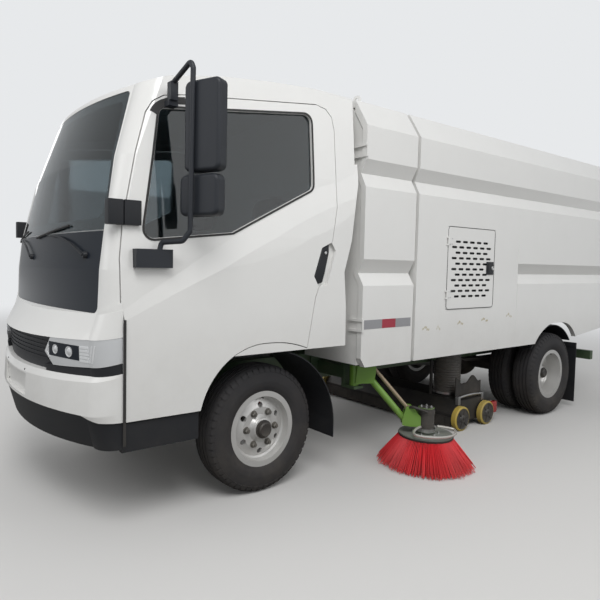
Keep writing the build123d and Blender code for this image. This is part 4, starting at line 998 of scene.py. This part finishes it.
for x in (-0.215, 0.215):
    for z in (0.622, 0.745):
        hit, _ = onSurface("bumper", fromAxle(x, -1.6, z), (0, 1, 0))
        if hit:
            screw = spun([(-0.003, 0.0), (-0.003, 0.0055), (0.0012, 0.0055), (0.002, 0.004), (0.002, 0.0)], 16)
            moved(screw, Matrix.Translation(hit) @ facingFront)
            name = f"plate_hole_{'left' if x > 0 else 'right'}_{'high' if z > 0.7 else 'low'}"
            addPiece(name, screw, slotBlack, "cab", 30)
print("front details made")

# seats: crowned cushions with sewn channels, one pair of seat and back for each side
seat = {"middle": 0.450, "halfWidth": 0.236, "front": -0.326, "rear": 0.212, "low": 0.968, "high": 1.118,
        "backLow": 1.095,
        "backHigh": 1.785, "backFoot": 0.190, "backHead": 0.345, "backHalfDepth": 0.055, "backHalfWidth": 0.226}


def cushion(whole, middle, half, crown, channels, lean=None, power=5.0, cuts=22):
    # a rounded block with a crowned face towards +w and shallow channels across it
    bm = bmesh.new()
    bmesh.ops.create_cube(bm, size=2)
    bmesh.ops.subdivide_edges(bm, edges=bm.edges[:], cuts=cuts, use_grid_fill=True)
    for v in bm.verts:
        u, t, w = v.co
        q = (abs(u) ** power + abs(t) ** power + abs(w) ** power) ** (1 / power)
        u, t, w = u / q, t / q, w / q
        swell = crown * max(0, 1 - u * u) * max(0, 1 - t * t)
        groove = sum(math.exp(-((u - c) / 0.028) ** 2) for c in channels)
        face = 0.5 + 0.5 * math.tanh(w * 4)
        place = Vector((u * half[0], t * half[1], w * half[2] + face * (swell - 0.008 * groove)))
        v.co = (lean @ place if lean else place) + Vector(middle)
    mergeInto(whole, bm)


def seatPair(sign):
    bm = bmesh.new()
    x = sign * seat["middle"]
    middle = fromAxle(x, (seat["front"] + seat["rear"]) / 2, (seat["low"] + seat["high"]) / 2)
    half = (seat["halfWidth"], (seat["rear"] - seat["front"]) / 2, (seat["high"] - seat["low"]) / 2)
    cushion(bm, middle, half, 0.010, (-0.52, 0.52))
    low, high = seat["backLow"], seat["backHigh"]
    tilt = math.atan2(seat["backHead"] - seat["backFoot"], high - low)
    turn = Matrix.Rotation(-tilt, 3, "X") @ Matrix.Rotation(math.radians(90), 3, "X")
    for start, end, width in ((0.0, 0.74, seat["backHalfWidth"]), (0.765, 1.0, seat["backHalfWidth"] * 0.62)):
        u = (start + end) / 2
        spot = fromAxle(x, seat["backFoot"] + (seat["backHead"] - seat["backFoot"]) * u, low + (high - low) * u)
        cushion(bm, spot, (width, (high - low) * (end - start) / 2, seat["backHalfDepth"]), 0.006,
                (-0.5, 0.5) if start == 0 else (), turn)
    bmesh.ops.recalc_face_normals(bm, faces=bm.faces)
    return bm


for side, sign in sides.items():
    piece = addPiece(f"seat_{side}", seatPair(sign), seatCloth, "cab", 60)
    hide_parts("seats")

print("seats made")

# reflective strip on each bay door: silver, red, silver
strip = {"front": 0.725, "rear": 1.193, "low": 0.940, "high": 1.000, "redFrom": 0.37, "redTo": 0.66}


def stripPart(u0, u1):
    def make():
        y0 = strip["front"] + (strip["rear"] - strip["front"]) * u0
        y1 = strip["front"] + (strip["rear"] - strip["front"]) * u1
        low, high = strip["low"], strip["high"]
        return patch("bay_door_left", sideCorners((y0, low), (y1, low), (y1, high), (y0, high)), (-1, 0, 0), 0.0012,
                     across=8, along=3)
    return make


bothSides("strip_front", stripPart(0.0, strip["redFrom"]), stripSilver, "bay_door_{side}", 30)
bothSides("strip_middle", stripPart(strip["redFrom"], strip["redTo"]), stripRed, "bay_door_{side}", 30)
bothSides("strip_rear", stripPart(strip["redTo"], 1.0), stripSilver, "bay_door_{side}", 30)

# vent hatch: outline, screws, latch and a dark plate behind the slots
hatch = {"y": (1.597, 2.220), "z": (1.040, 1.655), "radius": 0.030}


def hatchLine():
    bm = bmesh.new()
    y0, y1 = (v + frontAxleY for v in hatch["y"])
    z0, z1 = hatch["z"]
    grown = roundedOutline([(y0, z0), (y1, z0), (y1, z1), (y0, z1)], hatch["radius"])
    outer, inner = insetOutline(grown, -0.0014), insetOutline(grown, 0.0012)
    rows = []
    for a, b in zip(outer, inner):
        rows.append([bm.verts.new((x, p.x, p.y)) for x, p in ((0.9575, a), (0.9606, a), (0.9606, b), (0.9575, b))])
    joinRings(bm, rows + rows[:1])
    bmesh.ops.recalc_face_normals(bm, faces=bm.faces)
    return bm


def latchBarrel():
    return shifted(spun([(0.0, 0.0), (0.0, 0.0165), (0.006, 0.0165), (0.0085, 0.013), (0.0065, 0.009), (0.0065, 0.0)],
                        32),
                   fromAxle(0.9645, 2.184, 1.351))


def hatchScrews():
    bm = bmesh.new()
    for z in (1.150, 1.545):
        for y in (1.622, 1.646):
            for dz in (-0.020, 0.020):
                screw = shifted(spun([(-0.001, 0.0), (-0.001, 0.0048), (0.0012, 0.0048), (0.0022, 0.003),
                                      (0.0022, 0.0)], 12),
                                fromAxle(0.9600, y, z + dz))
                mergeInto(bm, screw)
    return bm


addPiece("hatch_line", hatchLine(), seamGrey, "hopper", 30)
# a square paddle latch, and its round key barrel
hatchLatch = blocks(((0.9585, 2.108, 1.300), (0.9650, 2.205, 1.402), 0.004),
                    ((0.9640, 2.122, 1.316), (0.9690, 2.168, 1.388), 0.003))
addPiece("hatch_latch", hatchLatch(), trimBlack, "vent_hatch", 40)
addPiece("hatch_latch_barrel", latchBarrel(), steelBright, "vent_hatch", 30)
addPiece("hatch_screws", hatchScrews(), steelBright, "vent_hatch", 30)
hatchBacking = blocks(((0.9445, 1.640, 1.075), (0.9475, 2.185, 1.620), 0.0))
addPiece("hatch_backing", hatchBacking(), slotBlack, "vent_hatch", 0)


# beads of sealant left under the hatch, and a few more along the hopper's lower side
def sealantSmudges():
    bm = bmesh.new()
    chance = random.Random(7)
    for y, z, wide in ((1.375, 0.905, 0.085), (1.520, 0.900, 0.040), (1.790, 0.925, 0.085), (2.120, 0.935, 0.100),
                       (2.480, 0.955, 0.080)):
        for k in range(5):
            y0 = y + wide * (k / 5 - 0.5) + chance.uniform(-0.006, 0.006)
            z0 = z + 0.012 * math.sin(k * 1.3) + chance.uniform(-0.004, 0.004)
            corners = sideCorners((y0, z0), (y0 + wide * 0.18, z0 + 0.003), (y0 + wide * 0.20, z0 + 0.017),
                                  (y0 + 0.006, z0 + 0.014))
            patch("hopper", corners, (-1, 0, 0), 0.0008, 0.001, across=1, along=1, into=bm)
    return bm


addPiece("sealant_marks", sealantSmudges(), sealantBeige, "hopper", 0)


# roof vent cap and roof plugs
hit, _ = onSurface("hopper", fromAxle(0.62, 3.02, 3.2), (0, 0, -1))
if hit is not None:
    ventCap = spun([(-0.012, 0.0), (-0.012, 0.050), (0.004, 0.050), (0.010, 0.030), (0.052, 0.030), (0.054, 0.052),
                    (0.070, 0.050), (0.082, 0.034), (0.085, 0.0)], 40)
    addPiece("roof_vent_cap", upright(ventCap, hit), paintWhite, "hopper", 35)


def roofDots():
    bm = bmesh.new()
    for x in (0.60, -0.60):
        for y in (-0.20, 0.33, 0.42):
            hit, _ = onSurface("cab_shell", fromAxle(x, y, 3.0), (0, 0, -1))
            if hit is None:
                continue
            dot = upright(spun([(-0.004, 0.0), (-0.004, 0.010), (0.003, 0.010), (0.006, 0.006), (0.006, 0.0)], 16), hit)
            mergeInto(bm, dot)
    return bm


addPiece("roof_plugs", roofDots(), rubberBlack, "cab", 30)
print("body details made")

# suction nozzle: ribbed hoses, rubber curtains, wheel hubs and the lift links
duct = {"x": 0.520, "y": 2.300, "low": 0.262, "high": 0.700, "radius": 0.1085, "rib": 0.005, "pitch": 0.022}


def ribbedHose():
    profile = [(duct["low"], duct["radius"] - 0.010)]
    z = duct["low"]
    while z < duct["high"] - duct["pitch"]:
        profile += [(z, duct["radius"]), (z + duct["pitch"] * 0.30, duct["radius"] + duct["rib"]),
                    (z + duct["pitch"] * 0.62, duct["radius"] + duct["rib"]),
                    (z + duct["pitch"] * 0.92, duct["radius"])]
        z += duct["pitch"]
    profile += [(z, duct["radius"] - 0.010)]
    return upright(spun(profile, 56), fromAxle(duct["x"], duct["y"], 0))


def hoseClamp():
    return upright(spun([(0.250, 0.100), (0.250, 0.1165), (0.268, 0.1165), (0.268, 0.100)], 56),
                   fromAxle(duct["x"], duct["y"], 0))


bothSides("duct_hose", ribbedHose, hoseGrey, "suction_nozzle", 50)
bothSides("duct_clamp", hoseClamp, steelBright, "suction_nozzle", 40)


def curtain(x, y0, y1, top, depth, waves, thick=0.008):
    # a rubber flap with a scalloped upper edge, on the YZ plane
    def make():
        bm = bmesh.new()
        count = 36
        rows = []
        for i in range(count + 1):
            u = i / count
            y = y0 + (y1 - y0) * u
            crest = top + 0.028 * math.cos(2 * math.pi * waves * u) + 0.010 * math.cos(4 * math.pi * waves * u)
            bow = 0.006 * math.sin(math.pi * 3 * u)
            rows.append([bm.verts.new(fromAxle(x + dx + bow, y, z)) for dx,
                         z in ((0, top - depth), (thick, top - depth), (thick, crest), (0, crest))])
        joinRings(bm, rows)
        bm.faces.new(rows[0])
        bm.faces.new(list(reversed(rows[-1])))
        bmesh.ops.recalc_face_normals(bm, faces=bm.faces)
        return bm
    return make


bothSides("nozzle_curtain", curtain(0.700, 2.150, 2.520, 0.385, 0.165, 1.5), rubberBlack, "suction_nozzle",
          40)


def nozzleSkirt(y):
    # hanging rubber strip across the nozzle, slit into fingers
    starts = [-0.738 + i * 0.0617 for i in range(24)]
    return blocks(*[((x, y - 0.004, 0.018), (x + 0.0597, y + 0.004, 0.105), 0.0) for x in starts])()


addPiece("nozzle_strip_front", nozzleSkirt(2.052), rubberBlack, "suction_nozzle", 0)
addPiece("nozzle_strip_rear", nozzleSkirt(2.548), rubberBlack, "suction_nozzle", 0)


def hubDisc():
    return spun([(0.0200, 0.010), (0.0200, 0.0865), (0.0262, 0.0865), (0.0262, 0.0800), (0.0225, 0.0760),
                 (0.0215, 0.0340),
                 (0.0280, 0.0300), (0.0300, 0.0240), (0.0300, 0.010)], 44)


def spokeShape():
    bm = bmesh.new()
    slab(bm, Vector((0.0205, 0.028, -0.0055)), Vector((0.0268, 0.080, 0.0055)), 0.0015)
    return bm


for side, sign in sides.items():
    for end, y in (("front", 2.114), ("rear", 2.482)):
        place = Matrix.Scale(sign, 4, (1, 0, 0)) @ Matrix.Translation(fromAxle(0.782, y, 0.102))
        addPiece(f"nozzle_hub_{end}_{side}", moved(hubDisc(), place), motorBlack, f"nozzle_wheel_{end}_{side}",
                 40)
        grow(f"nozzle_spokes_{end}_{side}", ringTree, spokeShape(), {"Count": 6, "Start": 0.2}, [place], steelDark,
             f"nozzle_wheel_{end}_{side}", 30)


def nozzleLinks():
    # a tie bar from the front wheel's bracket to the rear one, with turnbuckle ends
    bar = [tuple(fromAxle(0.742, y, z)) for y, z in ((2.150, 0.262), (2.300, 0.278), (2.460, 0.262))]
    bm = tube(bar, 0.009, 10)
    for y in (2.135, 2.475):
        slab(bm, fromAxle(0.728, y - 0.016, 0.205), fromAxle(0.756, y + 0.016, 0.275), 0.004)
    return bm


bothSides("nozzle_links", nozzleLinks, steelBright, "suction_nozzle", 40)


# a red plastic corner guard behind the rear wheel
redGuard = blocks(((0.752, 2.560, 0.085), (0.800, 2.640, 0.185), 0.016),
                  ((0.742, 2.530, 0.110), (0.764, 2.580, 0.150), 0.004))
bothSides("nozzle_corner_guard", redGuard, lampRed, "suction_nozzle", 40)
print("nozzle details made")

# tail lamps, blank rear plate and tailgate fittings
rearLamp = {"low": 0.421, "high": 0.489, "face": 4.440,
            "parts": [("amber", 0.566, 0.640), ("red", 0.645, 0.722), ("clear", 0.727, 0.794)]}


def lampCell(x0, x1):
    # a lens with five raised bars
    low, high, face = rearLamp["low"], rearLamp["high"], rearLamp["face"]
    heights = [low + 0.010 + k * 0.012 for k in range(5)]
    return blocks(((x0, face - 0.004, low), (x1, face + 0.004, high), 0.003),
                  *[((x0 + 0.006, face + 0.003, z), (x1 - 0.006, face + 0.0052, z + 0.004), 0.0) for z in heights])


for (label, x0, x1), material in zip(rearLamp["parts"], (lampAmber, lampRed, lampBright)):
    bothSides(f"tail_lamp_{label}", lampCell(x0, x1), material, "chassis", 30)

plate = blocks(((-0.220, 4.4125, 0.395), (0.220, 4.4150, 0.535), 0.0008))
addPiece("rear_plate", plate(), plateBlank, "chassis", 30)
plateRim = blocks(*[(low, high, 0.0006) for low, high in (
    ((-0.222, 4.4145, 0.393), (0.222, 4.4165, 0.399)), ((-0.222, 4.4145, 0.531), (0.222, 4.4165, 0.537)),
    ((-0.222, 4.4145, 0.393), (-0.216, 4.4165, 0.537)), ((0.216, 4.4145, 0.393), (0.222, 4.4165, 0.537)))])
addPiece("rear_plate_rim", plateRim(), trimBlack, "chassis", 30)

# the gate: pressed stiffeners, rails, over-centre latches and reflectors
gateRib = blocks(*[((x, 4.800, 1.180), (x + 0.070, 4.8175, 2.260), 0.012) for x in (0.235, 0.700)])
gateRail = blocks(*[((-0.790, 4.800, z), (0.790, 4.8165, z + 0.060), 0.012) for z in (1.075, 2.300)])
gateLatch = blocks(((0.800, 4.800, 1.000), (0.860, 4.8125, 1.120), 0.004),
                   ((0.816, 4.808, 1.020), (0.844, 4.820, 1.105), 0.005))
gateStrip = blocks(((0.500, 4.802, 0.900), (0.640, 4.8062, 0.950), 0.0008))
gateStripRed = blocks(((0.642, 4.802, 0.900), (0.782, 4.8062, 0.950), 0.0008))
bothSides("gate_ribs", gateRib, paintWhite, "tailgate", 40)
addPiece("gate_rails", gateRail(), paintWhite, "tailgate", 40)
bothSides("gate_latch", gateLatch, steelBright, "tailgate", 40)
bothSides("gate_strip_silver", gateStrip, stripSilver, "tailgate", 30)
bothSides("gate_strip_red", gateStripRed, stripRed, "tailgate", 30)
print("rear fittings made")

camera = bpy.data.cameras.new("camera")
cameraObject = bpy.data.objects.new("camera", camera)
bpy.context.collection.objects.link(cameraObject)
cameraObject.location = (3.3117, -3.6763, 1.3379)
cameraObject.rotation_euler = [math.radians(a) for a in (86.9188, -0.9213, 55.1937)]
camera.sensor_width = 36
camera.lens = 31.889
camera.shift_x, camera.shift_y = 0.0967, -0.0090
camera.clip_start, camera.clip_end = 0.05, 200
bpy.context.scene.camera = cameraObject

floorMesh = bpy.data.meshes.new("floor")
bm = bmesh.new()
bmesh.ops.create_grid(bm, x_segments=1, y_segments=1, size=60)
bm.to_mesh(floorMesh)
bm.free()
floor = bpy.data.objects.new("floor", floorMesh)
bpy.context.collection.objects.link(floor)
backdrop = (0.80, 0.815, 0.83)
floorPaint, tree, shader = startMaterial("pale floor")
shader.inputs["Roughness"].default_value = 0.9
seen = tree.nodes.new("ShaderNodeLightPath")
floorTint = tree.nodes.new("ShaderNodeMix")
floorTint.data_type = "RGBA"
floorTint.inputs["A"].default_value = (0.22, 0.215, 0.205, 1)
floorTint.inputs["B"].default_value = (0.66, 0.65, 0.635, 1)
# far out the floor turns into the backdrop, so that no horizon shows
farAway = tree.nodes.new("ShaderNodeVectorMath")
farAway.operation = "LENGTH"
where = tree.nodes.new("ShaderNodeTexCoord")
fade = tree.nodes.new("ShaderNodeMapRange")
fade.interpolation_type = "SMOOTHSTEP"
fade.inputs["From Min"].default_value, fade.inputs["From Max"].default_value = 3.6, 15.0
haze = tree.nodes.new("ShaderNodeEmission")
haze.inputs["Color"].default_value = (*backdrop, 1)
mixed = tree.nodes.new("ShaderNodeMixShader")
joinUp(tree, (seen.outputs["Is Camera Ray"], floorTint.inputs["Factor"]),
       (floorTint.outputs["Result"], shader.inputs["Base Color"]), (where.outputs["Object"], farAway.inputs[0]),
       (farAway.outputs["Value"], fade.inputs["Value"]), (fade.outputs["Result"], mixed.inputs["Fac"]),
       (shader.outputs[0], mixed.inputs[1]), (haze.outputs[0], mixed.inputs[2]),
       (mixed.outputs[0], tree.nodes["Material Output"].inputs["Surface"]))
floorMesh.materials.append(floorPaint)

# an even overcast light from above; the camera, glass and metal see the pale backdrop
world = bpy.data.worlds.new("studio")
bpy.context.scene.world = world
world.use_nodes = True
sky = world.node_tree.nodes["Background"]
path = world.node_tree.nodes.new("ShaderNodeLightPath")
tint = world.node_tree.nodes.new("ShaderNodeMix")
tint.data_type = "RGBA"
tint.inputs["A"].default_value = (0.50, 0.51, 0.52, 1)
tint.inputs["B"].default_value = (*backdrop, 1)
world.node_tree.links.new(mathNode(world.node_tree, "MAXIMUM", path.outputs["Is Camera Ray"],
                                   path.outputs["Is Transmission Ray"]), tint.inputs["Factor"])
world.node_tree.links.new(tint.outputs["Result"], sky.inputs["Color"])
sky.inputs["Strength"].default_value = 1.0

lamps = {"key": ((5.0, -4.5, 7.0), 330, 4.0), "side": ((7.5, 2.5, 4.5), 110, 5.0),
         "front": ((-1.5, -8.5, 4.0), 70, 4.0),
         "far": ((-6.5, 0.5, 5.0), 120, 5.0)}
for name, (spot, power, size) in lamps.items():
    lamp = bpy.data.lights.new(name, "AREA")
    lamp.energy, lamp.size = power, size
    lampObject = bpy.data.objects.new(name, lamp)
    bpy.context.collection.objects.link(lampObject)
    lampObject.location = spot
    lampObject.rotation_euler = (Vector((0, 0, 1.0)) - Vector(spot)).to_track_quat("-Z", "Y").to_euler()
bpy.context.scene.view_settings.view_transform = "Standard"

print("scene ready")
